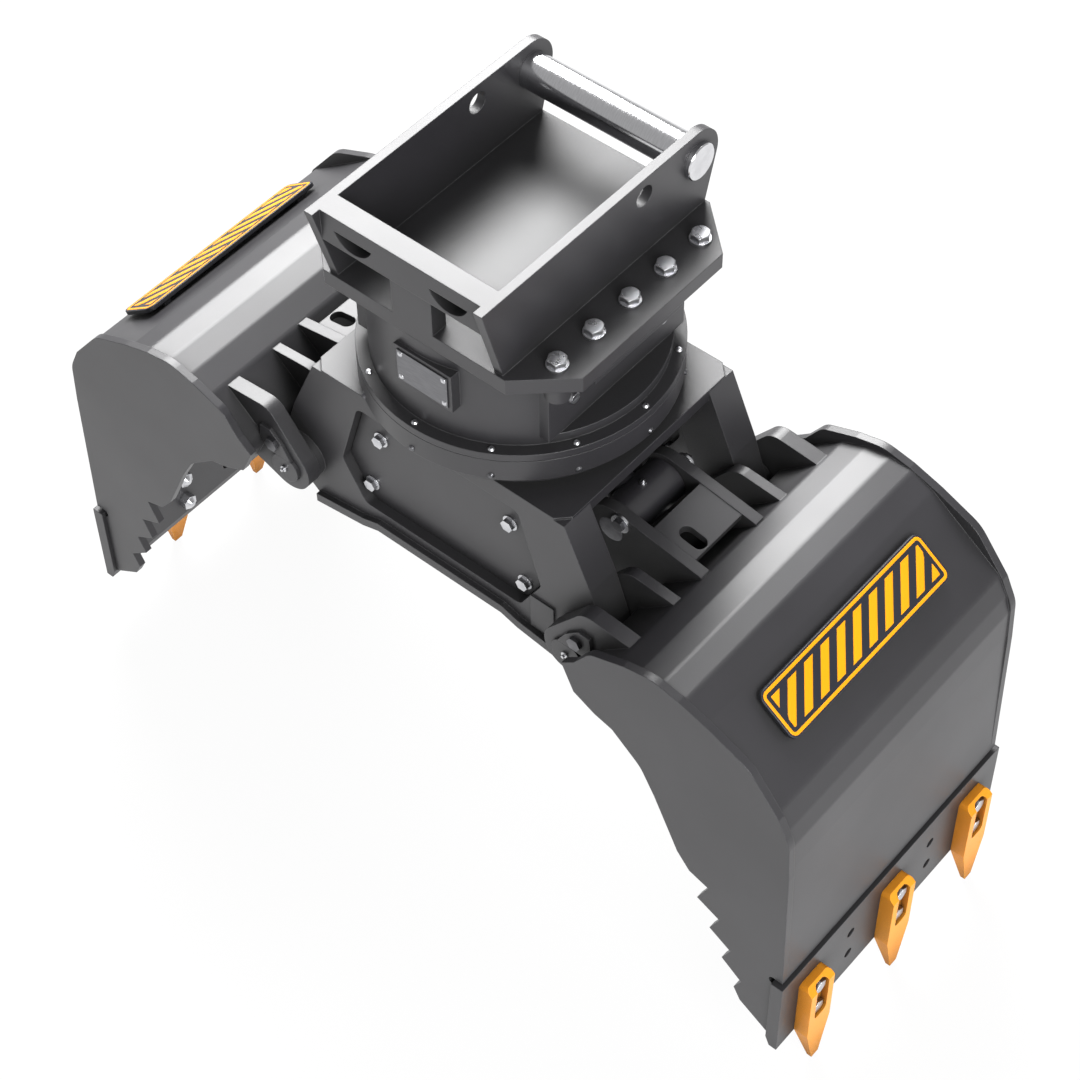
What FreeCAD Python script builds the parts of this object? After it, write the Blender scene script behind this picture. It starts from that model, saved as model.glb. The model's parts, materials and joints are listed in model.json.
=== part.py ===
import math
import os

import FreeCAD
import Part
import Sketcher

# Sorting grapple with a quick-coupler head, a rotator, a frame and two clamshell jaws.
# +Z is up the rotator axis, X runs from jaw to jaw and Y along the jaw hinges.
# The origin is on the rotator axis, at the joint between housing and slewing ring.

os.makedirs("parts", exist_ok=True)
doc = FreeCAD.newDocument("sorting_grapple")

# Driving sizes in millimetres and degrees
SIZES = {
    # Coupler head
    "head_half_width": 146.5, "head_plate": 14, "head_top": 308, "head_front": 237, "head_foot_front": 202,
    "ear_back_angle": -16, "flange_top": 178, "flange_thick": 25, "flange_half_x": 226, "flange_half_y": 207,
    "flange_cut_x": 72, "flange_cut_y": 65, "axle_y": 185, "axle_z": 264, "axle_radius": 27,
    "axle_overhang": 8, "axle_chamfer": 1.5, "sling_hole_y": 76, "sling_hole_z": 279, "sling_hole_radius": 16,
    "bar_front": 223, "bar_depth": 34, "bar_bottom": 258, "bar_web": 16, "bar_web_depth": 26, "web_half": 34,
    "lock_x": 79, "lock_radius": 34, "lock_drop": 22, "lock_top": 285, "lock_depth": 26,
    "bolt_row_x": 186.5, "bolt_pitch": 72.4, "bolt_radius": 8, "bolt_play": 0.5, "thread_gap": 0.1,
    "bolt_head_corner": 13.9, "bolt_head_high": 10, "bolt_long": 63, "bolt_hole_spare": 3,
    "washer_radius": 15, "washer_thick": 3,
    # Rotator housing
    "drum_radius": 207, "drum_flat_x": 168, "drum_band": 15, "flank_half_y": 141, "top_flange_high": 45,
    "column_radius": 17, "column_high": 30, "lip_radius": 225, "lip_thick": 12, "bearing_radius": 165,
    "bearing_top": 35, "bearing_high": 40, "spigot_radius": 130, "spigot_high": 60, "spigot_clear": 1.5,
    "union_radius": 48, "union_top": 112, "union_drop": 28,
    "drum_screws": 12, "drum_screw_radius": 5, "drum_screw_head": 3, "drum_screw_ring": 216, "drum_screw_long": 12,
    "plug_y": 92, "plug_z": 62, "plug_radius": 9, "plug_head": 5, "plug_long": 14, "plug_slot": 3,
    "tag_x": 17, "tag_z": 94, "tag_wide": 86, "tag_high": 54, "tag_thick": 2, "tag_pad": 5, "tag_rim": 6,
    "rivet_radius": 2.5, "rivet_head": 1.5, "rivet_deep": 8,
    # Slewing ring and frame
    "seal_gap": 1, "ring_thick": 37, "ring_neck_radius": 209, "ring_screw_z": -43,
    "frame_half_x": 226, "frame_half_y": 181, "frame_top": -71, "deck_thick": 20, "deck_cut": 18,
    "deck_bore": 90, "deck_clear": 0.3, "wall_thick": 22, "end_top_x": 226, "end_top_drop": 4,
    "end_angle": 18.7, "end_run": 90, "strip_thick": 12, "belly_z": -338, "belly_thick": 14,
    "belly_half_x": 116, "lip_out": 9, "lip_high": 16, "lip_drop": 10, "lip_mid_x": 146, "lip_tail_x": 238,
    "lip_tail_drop": 24, "rib_y": 140, "rib_thick": 12, "rib_in_x": 150, "rib_drop": 20,
    "window_top": -105, "window_top_x": 145, "window_mid_x": 184, "window_mid_z": -235,
    "window_low_x": 145, "window_low_z": -304, "window_round": 14, "cover_gap": 1, "cover_thick": 6,
    "cover_ledge": 20, "ledge_thick": 8, "cover_bolt_x1": 118, "cover_bolt_z1": -163, "cover_bolt_x2": 142,
    "cover_bolt_z2": -272, "cover_bolt_radius": 6, "cover_bolt_corner": 10.4, "cover_bolt_head": 8,
    "cover_collar_radius": 12.5, "cover_collar_thick": 2, "pad_x": 166, "pad_z": -330, "pad_long": 42,
    "pad_tall": 66, "pad_high": 3,
    # Hinges
    "pin_x": 262, "pin_z": -277, "pin_radius": 25, "running": 0.06, "push": 0.04, "pin_end": 223.5,
    "tube_radius": 40, "tube_outer": 193, "tube_inner": 126.5, "tube_low_angle": -50, "bush_radius": 31,
    "bush_inset": 0.5, "lug_radius": 42, "lug_outer": 218, "lug_thick": 24, "lug_inner": 125.5,
    "lug_inner_thick": 16, "lug_foot": 54, "lug_rise": 98.5, "lug_round": 30,
    "keeper_bolt_x": 18, "keeper_bolt_z": 41, "keeper_bolt_radius": 7, "keeper_bolt_corner": 11.5,
    "keeper_bolt_head": 6, "keeper_low": 20, "keeper_gap": 0.2, "keeper_deep": 20, "nipple_radius": 3.5,
    "nipple_high": 7, "nipple_deep": 9,
    # Levers
    "lever_y": 69, "lever_thick": 17.5, "eye_back": 47, "eye_up": 85, "eye_radius": 42,
    "lever_top_run": 150, "lever_low_run": 104, "tie_up": 125, "tie_set": 1.5, "tie_start": 53, "tie_end": 126,
    "tie_thick": 12, "tie_hole_x": 60, "tie_hole_y": 25, "tie_hole_radius": 11.5,
    "tie_hole_long": 20, "tie_hole_deep": 45,
    "clip_x": 18, "clip_z": 28, "clip_radius": 15, "clip_thick": 4, "clip_bolt_radius": 6, "clip_deep": 15,
    # Cylinder
    "cylinder_pin_radius": 20, "eye_boss_radius": 34, "eye_boss_gap": 0.6, "eye_bush_wall": 5,
    "barrel_radius": 48, "barrel_wall": 8, "barrel_start": 50, "barrel_long": 300, "barrel_base": 16,
    "gland_deep": 18, "gland_thick": 14, "rod_radius": 25, "rod_reach": 335, "piston_long": 34,
    "port_radius": 13, "port_high": 8, "port_bore": 7,
    # Jaws
    "jaw_half_y": 262, "jaw_side": 12, "shell_thick": 10, "fold_radius": 24, "shell_step": 5, "groove": 7,
    "backing_low": 28, "backing_high": 60, "mouse_hole": 8, "edge_x": 688, "edge_thick": 20,
    "edge_high": 165, "edge_bottom": -815, "edge_bevel": 18, "edge_half_y": 268,
    "tooth_pitch": 99, "tooth_wide": 54, "tooth_thick": 24, "tooth_top": -690, "tooth_tip": -896,
    "tooth_shoulder": -812, "tooth_tip_wide": 16, "tooth_tip_thick": 8, "tooth_bevel": 12,
    "tooth_hole_z1": -708, "tooth_hole_z2": -764, "tooth_bolt_radius": 8, "pocket_wide": 28,
    "pocket_long": 84, "pocket_deep": 12, "tooth_head_corner": 12.5, "tooth_head_high": 8,
    "nut_corner": 13.9, "nut_high": 14, "dome_high": 6,
    "sign_from_right": 18.7, "sign_from_left": 49, "sign_wide": 79, "sign_long": 356, "sign_thick": 7, "sign_gap": 6.5,
    "spacer_in": 30, "spacer_wide": 12,
}

sheet = doc.addObject("Spreadsheet::Sheet", "Sizes")
for row, (alias, value) in enumerate(SIZES.items(), start=1):
    sheet.set(f"A{row}", alias)
    sheet.set(f"B{row}", str(value))
    sheet.setAlias(f"B{row}", alias)
doc.recompute()


class Size:
    """A length or angle: its present value and the sheet expression that gives it."""

    def __init__(self, value, text):
        self.value = value
        self.text = text

    def __add__(self, other):
        other = size(other)
        return Size(self.value + other.value, f"({self.text} + {other.text})")

    def __sub__(self, other):
        other = size(other)
        return Size(self.value - other.value, f"({self.text} - {other.text})")

    def __mul__(self, other):
        other = size(other)
        return Size(self.value * other.value, f"({self.text} * {other.text})")

    def __truediv__(self, other):
        other = size(other)
        return Size(self.value / other.value, f"({self.text} / {other.text})")

    def __neg__(self):
        return Size(-self.value, f"(0 - {self.text})")

    def __radd__(self, other):
        return size(other) + self

    def __rsub__(self, other):
        return size(other) - self

    def __rmul__(self, other):
        return size(other) * self


def size(number):
    """Turn a plain number into a Size; a Size passes through."""
    if isinstance(number, Size):
        return number
    return Size(float(number), repr(float(number)))


def root(number):
    return Size(math.sqrt(number.value), f"sqrt({number.text})")


def cosine(angle):
    angle = size(angle)
    return Size(math.cos(math.radians(angle.value)), f"cos({angle.text} * 1 deg)")


def sine(angle):
    angle = size(angle)
    return Size(math.sin(math.radians(angle.value)), f"sin({angle.text} * 1 deg)")


class Sheet:
    """Gives every alias of the spreadsheet as a Size attribute."""

    def __getattr__(self, alias):
        return Size(float(sheet.get(alias)), f"Sizes.{alias}")


s = Sheet()


def bind(item, prop, amount):
    """Tie one property of a document object to the sheet."""
    item.setExpression(prop, size(amount).text)


def place(item, x, y, z, rotation=None):
    item.Placement = FreeCAD.Placement(
        FreeCAD.Vector(size(x).value, size(y).value, size(z).value), rotation or FreeCAD.Rotation())
    bind(item, "Placement.Base.x", x)
    bind(item, "Placement.Base.y", y)
    bind(item, "Placement.Base.z", z)
    return item


def box(name, x, y, z, long, wide, high):
    """A block from its low corner and its three lengths."""
    item = doc.addObject("Part::Box", name)
    bind(item, "Length", long)
    bind(item, "Width", wide)
    bind(item, "Height", high)
    return place(item, x, y, z)


TURNS = {
    "X": FreeCAD.Rotation(FreeCAD.Vector(0, 1, 0), 90),
    "Y": FreeCAD.Rotation(FreeCAD.Vector(1, 0, 0), -90),
    "Z": FreeCAD.Rotation(),
}


def rod(name, axis, x, y, z, radius, length):
    """A cylinder that starts at a point and runs along +X, +Y or +Z."""
    item = doc.addObject("Part::Cylinder", name)
    bind(item, "Radius", radius)
    bind(item, "Height", length)
    return place(item, x, y, z, TURNS[axis])


def cone(name, axis, x, y, z, radius, end_radius, length):
    item = doc.addObject("Part::Cone", name)
    bind(item, "Radius1", radius)
    bind(item, "Radius2", end_radius)
    bind(item, "Height", length)
    return place(item, x, y, z, TURNS[axis])


def hexagon(name, axis, x, y, z, corner, length):
    item = doc.addObject("Part::Prism", name)
    item.Polygon = 6
    bind(item, "Circumradius", corner)
    bind(item, "Height", length)
    return place(item, x, y, z, TURNS[axis])


def fuse(name, items):
    item = doc.addObject("Part::MultiFuse", name)
    item.Shapes = items
    item.Refine = True
    return item


def cut(name, base, tools, refine=True):
    """Take one or more tools away from a base."""
    if len(tools) > 1:
        group = doc.addObject("Part::Compound", name + "_tools")
        group.Links = tools
        tool = group
    else:
        tool = tools[0]
    item = doc.addObject("Part::Cut", name)
    item.Base = base
    item.Tool = tool
    item.Refine = refine
    return item


def common(name, items):
    item = doc.addObject("Part::MultiCommon", name)
    item.Shapes = items
    return item


def group(name, items):
    """Several separate solids that make one node."""
    item = doc.addObject("Part::Compound", name)
    item.Links = items
    return item


def mirror(name, source, normal):
    item = doc.addObject("Part::Mirroring", name)
    item.Source = source
    item.Normal = FreeCAD.Vector(*normal)
    return item


MIRROR_X = (1, 0, 0)
MIRROR_Y = (0, 1, 0)

PLANES = {
    "XY": (FreeCAD.Rotation(), FreeCAD.Vector(0, 0, 1), "z"),
    "XZ": (FreeCAD.Rotation(FreeCAD.Vector(1, 0, 0), 90), FreeCAD.Vector(0, 1, 0), "y"),
    "YZ": (FreeCAD.Rotation(FreeCAD.Vector(1, 1, 1), 120), FreeCAD.Vector(1, 0, 0), "x"),
}


def arc_at(before, corner, after, radius):
    """The rounding of one corner: centre, its two tangent points and whether it turns left."""
    u = FreeCAD.Vector(before[0] - corner[0], before[1] - corner[1], 0).normalize()
    v = FreeCAD.Vector(after[0] - corner[0], after[1] - corner[1], 0).normalize()
    half = math.acos(max(-1.0, min(1.0, u.dot(v)))) / 2
    reach = radius / math.tan(half)
    here = FreeCAD.Vector(corner[0], corner[1], 0)
    centre = here + (u + v).normalize() * (radius / math.sin(half))
    left = (-u).cross(v).z > 0
    return centre, here + u * reach, here + v * reach, left


def fix(sketch, geometry, point, u, v):
    """Hold a sketch point at a place that the sheet gives."""
    for kind, amount in (("DistanceX", u), ("DistanceY", v)):
        amount = size(amount)
        number = sketch.addConstraint(Sketcher.Constraint(kind, -1, 1, geometry, point, amount.value))
        sketch.setExpression(f"Constraints[{number}]", amount.text)


def draw(sketch, corners):
    """A closed outline of straight runs; a corner with a third value is rounded to that radius."""
    count = len(corners)
    spots = [(size(c[0]).value, size(c[1]).value) for c in corners]
    arcs = {}
    for i, c in enumerate(corners):
        if len(c) > 2:
            arcs[i] = arc_at(spots[i - 1], spots[i], spots[(i + 1) % count], size(c[2]).value)
    lines = []
    for i in range(count):
        j = (i + 1) % count
        start = arcs[i][2] if i in arcs else FreeCAD.Vector(*spots[i], 0)
        end = arcs[j][1] if j in arcs else FreeCAD.Vector(*spots[j], 0)
        lines.append(sketch.addGeometry(Part.LineSegment(start, end), False))
    for i in range(count):
        before = lines[i - 1]
        after = lines[i]
        if i not in arcs:
            sketch.addConstraint(Sketcher.Constraint("Coincident", before, 2, after, 1))
            fix(sketch, after, 1, corners[i][0], corners[i][1])
            continue
        centre, first, second, left = arcs[i]
        from_angle, to_angle = [math.atan2(p.y - centre.y, p.x - centre.x) for p in (first, second)]
        if not left:
            from_angle, to_angle = to_angle, from_angle
        circle = Part.Circle(centre, FreeCAD.Vector(0, 0, 1), size(corners[i][2]).value)
        arc = sketch.addGeometry(Part.ArcOfCircle(circle, from_angle, to_angle), False)
        mark = sketch.addGeometry(Part.Point(FreeCAD.Vector(*spots[i], 0)), True)
        fix(sketch, mark, 1, corners[i][0], corners[i][1])
        sketch.addConstraint(Sketcher.Constraint("PointOnObject", mark, 1, before))
        sketch.addConstraint(Sketcher.Constraint("PointOnObject", mark, 1, after))
        sketch.addConstraint(Sketcher.Constraint("Tangent", before, 2, arc, 1 if left else 2))
        sketch.addConstraint(Sketcher.Constraint("Tangent", after, 1, arc, 2 if left else 1))
        number = sketch.addConstraint(Sketcher.Constraint("Radius", arc, size(corners[i][2]).value))
        sketch.setExpression(f"Constraints[{number}]", size(corners[i][2]).text)


def drill(sketch, u, v, radius):
    """A round hole in an outline."""
    u, v, radius = size(u), size(v), size(radius)
    circle = Part.Circle(FreeCAD.Vector(u.value, v.value, 0), FreeCAD.Vector(0, 0, 1), radius.value)
    hole = sketch.addGeometry(circle, False)
    fix(sketch, hole, 3, u, v)
    number = sketch.addConstraint(Sketcher.Constraint("Radius", hole, radius.value))
    sketch.setExpression(f"Constraints[{number}]", radius.text)


def plate(name, plane, corners, start, thick, holes=()):
    """A flat plate: its outline in one plane, where it starts across that plane, its thickness and holes."""
    rotation, direction, axis = PLANES[plane]
    sketch = doc.addObject("Sketcher::SketchObject", name + "_outline")
    base = FreeCAD.Vector()
    setattr(base, axis, size(start).value)
    sketch.Placement = FreeCAD.Placement(base, rotation)
    bind(sketch, f"Placement.Base.{axis}", start)
    draw(sketch, corners)
    for u, v, radius in holes:
        drill(sketch, u, v, radius)
    item = doc.addObject("Part::Extrusion", name)
    item.Base = sketch
    item.DirMode = "Custom"
    item.Dir = direction
    bind(item, "LengthFwd", thick)
    item.Solid = True
    item.FaceMakerClass = "Part::FaceMakerBullseye"
    return item


def ring(name, axis, x, y, z, outer, inner, length):
    """A tube with a through bore."""
    body = rod(name + "_body", axis, x, y, z, outer, length)
    bore = rod(name + "_bore", axis, x, y, z, inner, length)
    return cut(name, body, [bore])


def eye_corner(x, z, radius, first, second):
    """The corner whose rounding is concentric with an eye, between tangents whose normals have two angles."""
    spread = 1 + cosine(size(first) - second)
    return (x + radius * (cosine(first) + cosine(second)) / spread,
            z + radius * (sine(first) + sine(second)) / spread, radius)


def on_tangent(x, z, radius, normal, run):
    """A point on an eye's tangent, a run away from where it touches."""
    return (x + radius * cosine(normal) - run * sine(normal), z + radius * sine(normal) + run * cosine(normal))


NODES = {}


def node(name, item):
    """Hand one finished sub-part over under the name of its file."""
    item.Label = name
    NODES[name] = item
    return item


# Coupler head: two cheeks, a cross bar with lock pockets, a web and the flange plate
ear_r = s.head_top - s.axle_z
ear_run = (s.flange_top - s.axle_z - ear_r * sine(s.ear_back_angle)) / cosine(s.ear_back_angle)
cheek_outline = [
    (-s.head_front, s.head_top),
    (-s.head_foot_front, s.flange_top),
    on_tangent(s.axle_y, s.axle_z, ear_r, s.ear_back_angle, ear_run),
    eye_corner(s.axle_y, s.axle_z, ear_r, s.ear_back_angle, 90),
]
cheek_in = s.head_half_width - s.head_plate
cheek_holes = [(s.axle_y, s.axle_z, s.axle_radius + s.push), (s.sling_hole_y, s.sling_hole_z, s.sling_hole_radius)]
cheek = plate("cheek", "YZ", cheek_outline, cheek_in, s.head_plate, cheek_holes)
cheek_far = mirror("cheek_far", cheek, MIRROR_X)
fx, fy = s.flange_half_x, s.flange_half_y
cx, cy = fx - s.flange_cut_x, fy - s.flange_cut_y
flange_outline = [(-cx, -fy), (cx, -fy), (fx, -cy), (fx, cy), (cx, fy), (-cx, fy), (-fx, cy), (-fx, -cy)]
bolt_spots = [(side * s.bolt_row_x, step * s.bolt_pitch) for side in (-1, 1) for step in range(-2, 3)]
floor_z = s.flange_top - s.flange_thick
flange = plate("flange", "XY", flange_outline, floor_z, s.flange_thick,
               [(x, y, s.bolt_radius + s.bolt_play) for x, y in bolt_spots])
bar = box("lock_bar", -cheek_in, -s.bar_front, s.bar_bottom, cheek_in * 2, s.bar_depth, s.head_top - s.bar_bottom)
web = box("bar_web", -s.web_half, -s.bar_front + s.bar_web, s.flange_top, s.web_half * 2, s.bar_web_depth,
          s.bar_bottom - s.flange_top)
pockets = []
for side in (-1, 1):
    round_part = rod("pocket_round", "Y", side * s.lock_x, -s.bar_front - 1,
                     s.lock_top - s.lock_drop + s.lock_radius, s.lock_radius, s.lock_depth + 1)
    flat_part = box("pocket_flat", side * s.lock_x - s.lock_radius, -s.bar_front - 2, s.bar_bottom - 5,
                    s.lock_radius * 2, s.lock_depth + 4, s.lock_top - s.bar_bottom + 5)
    pockets.append(common("pocket", [round_part, flat_part]))
head_body = fuse("head_body", [cheek, cheek_far, flange, bar, web])
node("coupler_head", cut("coupler_head", head_body, pockets))

axle_end = s.head_half_width + s.axle_overhang
axle_parts = [
    rod("axle_mid", "X", -axle_end + s.axle_chamfer, s.axle_y, s.axle_z, s.axle_radius,
        (axle_end - s.axle_chamfer) * 2),
    cone("axle_right", "X", axle_end - s.axle_chamfer, s.axle_y, s.axle_z, s.axle_radius,
         s.axle_radius - s.axle_chamfer, s.axle_chamfer),
    cone("axle_left", "X", -axle_end, s.axle_y, s.axle_z, s.axle_radius - s.axle_chamfer,
         s.axle_radius, s.axle_chamfer),
]
node("coupler_axle", fuse("coupler_axle", axle_parts))

# Flange bolts go down into the housing
washers = []
bolts = []
for x, y in bolt_spots:
    washers.append(ring("flange_washer", "Z", x, y, s.flange_top, s.washer_radius,
                        s.bolt_radius + s.bolt_play, s.washer_thick))
    head = hexagon("bolt_head", "Z", x, y, s.flange_top + s.washer_thick, s.bolt_head_corner, s.bolt_head_high)
    dome = cone("bolt_face", "Z", x, y, s.flange_top + s.washer_thick, s.bolt_head_corner + s.bolt_head_high,
                s.bolt_head_corner * 0.84, s.bolt_head_high)
    shank = rod("bolt_shank", "Z", x, y, s.flange_top + s.washer_thick - s.bolt_long, s.bolt_radius, s.bolt_long)
    bolts.append(fuse("flange_bolt", [common("bolt_crown", [head, dome]), shank]))
node("flange_washers", group("flange_washers", washers))
node("flange_bolts", group("flange_bolts", bolts))

# Rotator housing: drum with two flat flanks, bolt columns, lower band and lip
band_top = s.drum_band
drum = rod("drum_round", "Z", 0, 0, band_top, s.drum_radius, floor_z - band_top)
drum_slot = box("drum_flats", -s.drum_flat_x, -s.drum_radius - 1, band_top - 1, s.drum_flat_x * 2,
                s.drum_radius * 2 + 2, floor_z)
drum_cut = common("drum", [drum, drum_slot])
flank = box("flank", -s.drum_flat_x, -s.flank_half_y, band_top, s.drum_flat_x * 2, s.flank_half_y * 2,
            floor_z - band_top)
top_flange = box("top_flange", -s.bolt_row_x - s.column_radius, -s.bolt_pitch - s.column_radius,
                 floor_z - s.top_flange_high, (s.bolt_row_x + s.column_radius) * 2,
                 (s.bolt_pitch + s.column_radius) * 2, s.top_flange_high)
bottom_band = rod("bottom_band", "Z", 0, 0, 0, s.drum_radius, band_top)
lip = rod("lip", "Z", 0, 0, -s.lip_thick, s.lip_radius, s.lip_thick)
columns = [rod("bolt_column", "Z", sx * s.bolt_row_x, sy * s.bolt_pitch * 2, floor_z - s.column_high,
               s.column_radius, s.column_high) for sx in (-1, 1) for sy in (-1, 1)]
column_webs = [box("column_web", x, y, floor_z - s.column_high, s.bolt_row_x - s.drum_flat_x + 30, s.column_radius,
                   s.column_high)
               for x in (-s.bolt_row_x, s.drum_flat_x - 30)
               for y in (-s.bolt_pitch * 2, s.bolt_pitch * 2 - s.column_radius)]
tag_seat = box("tag_seat", s.tag_x - s.tag_wide / 2 - s.tag_rim, -s.drum_radius - s.tag_pad,
               s.tag_z - s.tag_high / 2 - s.tag_rim, s.tag_wide + s.tag_rim * 2, s.tag_pad + 25,
               s.tag_high + s.tag_rim * 2)
housing_body = fuse("housing_body", [drum_cut, flank, top_flange, bottom_band, lip, tag_seat] + columns + column_webs)
bolt_deep = s.bolt_long - s.washer_thick - s.flange_thick
hollows = [rod("bolt_hole", "Z", x, y, floor_z - bolt_deep - s.bolt_hole_spare, s.bolt_radius + s.thread_gap,
               bolt_deep + s.bolt_hole_spare + 1) for x, y in bolt_spots]
hollows.append(rod("bearing_bore", "Z", 0, 0, -s.lip_thick - 1, s.bearing_radius, s.lip_thick + 1 + s.bearing_top))
hollows.append(rod("spigot_bore", "Z", 0, 0, 0, s.spigot_radius + s.spigot_clear, s.spigot_high + s.spigot_clear))
hollows.append(rod("union_bore", "Z", 0, 0, 0, s.union_radius + s.running, s.union_top + 2))
screw_spots = [360 * i / s.drum_screws.value for i in range(int(s.drum_screws.value))]


def around_z(name, shape_of, angles):
    """Repeat a solid that points along +X at several angles about the rotator axis."""
    items = []
    for angle in angles:
        item = shape_of(name)
        base = item.Placement
        turn = FreeCAD.Placement(FreeCAD.Vector(), FreeCAD.Rotation(FreeCAD.Vector(0, 0, 1), angle))
        shell = doc.addObject("Part::Compound", name + "_turned")
        shell.Links = [item]
        shell.Placement = turn
        items.append(shell)
    return items


def screw_hole(z, outer):
    def make(name):
        return rod(name, "X", outer - s.drum_screw_long, 0, z, s.drum_screw_radius * 0.6 + s.thread_gap,
                   s.drum_screw_long + 5)
    return make


def lip_screw_hole(name):
    """A blind hole down into the lip, open at its top."""
    return rod(name, "Z", s.drum_screw_ring, 0, 2 - s.lip_thick, s.drum_screw_radius * 0.6 + s.thread_gap,
               s.lip_thick)


def lip_screw(name):
    """A screw standing on the lip, with its shank in the blind hole."""
    shank = rod(name + "_shank", "Z", s.drum_screw_ring, 0, 3 - s.lip_thick, s.drum_screw_radius * 0.6,
                s.lip_thick - 3)
    crown = cone(name + "_crown", "Z", s.drum_screw_ring, 0, 0, s.drum_screw_radius, s.drum_screw_radius * 0.55,
                 s.drum_screw_head)
    return fuse(name, [shank, crown])


def screw(z, outer):
    def make(name):
        shank = rod(name + "_shank", "X", outer - s.drum_screw_long + 1, 0, z, s.drum_screw_radius * 0.6,
                    s.drum_screw_long - 1)
        crown = cone(name + "_crown", "X", outer, 0, z, s.drum_screw_radius, s.drum_screw_radius * 0.55,
                     s.drum_screw_head)
        return fuse(name, [shank, crown])
    return make


hollows += around_z("drum_screw_hole", lip_screw_hole, screw_spots)
plug_spots = [(-s.plug_y, s.plug_z), (s.plug_y, s.plug_z)]
for y, z in plug_spots:
    hollows.append(rod("plug_hole", "X", s.drum_flat_x - s.plug_long, y, z, s.plug_radius * 0.7 + s.thread_gap,
                       s.plug_long + 2))
tag_face = -s.drum_radius - s.tag_pad
rivet_spots = [(s.tag_x + i * (s.tag_wide / 2 - s.tag_rim), s.tag_z + k * (s.tag_high / 2 - s.tag_rim))
               for i in (-1, 1) for k in (-1, 1)]
for x, z in rivet_spots:
    hollows.append(rod("rivet_hole", "Y", x, tag_face - 1, z, s.rivet_radius, s.rivet_deep + 1))
node("rotator_housing", cut("rotator_housing", housing_body, hollows))
node("housing_screws", group("housing_screws", around_z("drum_screw", lip_screw, screw_spots)))

plugs = []
for y, z in plug_spots:
    shank = rod("plug_shank", "X", s.drum_flat_x - s.plug_long + 1, y, z, s.plug_radius * 0.7, s.plug_long - 1)
    crown = cone("plug_crown", "X", s.drum_flat_x, y, z, s.plug_radius, s.plug_radius - 1, s.plug_head)
    slot = box("plug_slot", s.drum_flat_x + s.plug_head / 2, y - s.plug_radius, z - s.plug_slot / 2, s.plug_head,
               s.plug_radius * 2, s.plug_slot)
    plugs.append(cut("plug", fuse("plug_solid", [shank, crown]), [slot]))
node("housing_plugs", group("housing_plugs", plugs))

tag_plate = plate("tag_sheet", "XZ", [
    (s.tag_x - s.tag_wide / 2, s.tag_z - s.tag_high / 2),
    (s.tag_x + s.tag_wide / 2, s.tag_z - s.tag_high / 2),
    (s.tag_x + s.tag_wide / 2, s.tag_z + s.tag_high / 2),
    (s.tag_x - s.tag_wide / 2, s.tag_z + s.tag_high / 2)], tag_face - s.tag_thick, s.tag_thick,
    [(x, z, s.rivet_radius) for x, z in rivet_spots])
node("type_plate", tag_plate)
rivets = []
for x, z in rivet_spots:
    pin = rod("rivet_pin", "Y", x, tag_face - s.tag_thick, z, s.rivet_radius, s.rivet_deep + s.tag_thick - 0.3)
    crown = cone("rivet_head", "Y", x, tag_face - s.tag_thick - s.rivet_head, z, s.rivet_radius, s.rivet_radius * 1.8,
                 s.rivet_head)
    rivets.append(fuse("rivet", [pin, crown]))
node("type_plate_rivets", group("type_plate_rivets", rivets))

# Slewing bearing, slew ring with its spigot and the rotary union core
node("slew_bearing", ring("slew_bearing", "Z", 0, 0, s.bearing_top - s.bearing_high, s.bearing_radius,
                          s.spigot_radius + s.running, s.bearing_high))
ring_top = -s.lip_thick - s.seal_gap
ring_low = ring_top - s.ring_thick
ring_parts = [
    rod("ring_rim", "Z", 0, 0, ring_low, s.lip_radius, s.ring_thick),
    rod("ring_neck", "Z", 0, 0, s.frame_top, s.ring_neck_radius, ring_low - s.frame_top),
    rod("spigot", "Z", 0, 0, ring_top, s.spigot_radius, s.spigot_high - ring_top),
]
ring_hollows = [rod("ring_bore", "Z", 0, 0, s.frame_top - 1, s.union_radius + s.push, s.spigot_high - s.frame_top + 2)]
ring_hollows += around_z("ring_screw_hole", screw_hole(s.ring_screw_z, s.lip_radius), screw_spots)
node("slew_ring", cut("slew_ring", fuse("ring_body", ring_parts), ring_hollows))
node("slew_ring_screws", group("slew_ring_screws",
                               around_z("ring_screw", screw(s.ring_screw_z, s.lip_radius), screw_spots)))
union_low = s.frame_top - s.deck_thick - s.union_drop
union_parts = [
    rod("union_spindle", "Z", 0, 0, union_low, s.union_radius, s.union_top - union_low),
    ring("union_collar", "Z", 0, 0, s.frame_top - s.deck_thick, s.deck_bore - s.deck_clear, s.union_radius - 1,
         s.deck_thick),
]
union_ports = [rod("union_port", "X", s.union_radius - 20, y, union_low + 12, s.port_bore, 25) for y in (-18, 18)]
node("rotary_union", cut("rotary_union", fuse("union_body", union_parts), union_ports))

# Main frame: deck, side walls with windows, ledges, end strips, ribs, hinge tubes, belly and lips
px, pz = s.pin_x, s.pin_z
deck_z = s.frame_top - s.deck_thick
ax, ay, ac = s.frame_half_x, s.frame_half_y, s.deck_cut
deck = plate("deck", "XY", [(-ax + ac, -ay), (ax - ac, -ay), (ax, -ay + ac), (ax, ay - ac), (ax - ac, ay),
                            (-ax + ac, ay), (-ax, ay - ac), (-ax, -ay + ac)], deck_z, s.deck_thick,
             [(0, 0, s.deck_bore)])


def shoulder(inset):
    """The bend of the frame end above the hinge tube, set in by some distance."""
    return on_tangent(px, pz, s.tube_radius - inset, s.end_angle, s.end_run)


def frame_end(inset):
    """The top corner of the frame end, set in by some distance."""
    return (s.end_top_x - inset, s.frame_top - s.end_top_drop)


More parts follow.
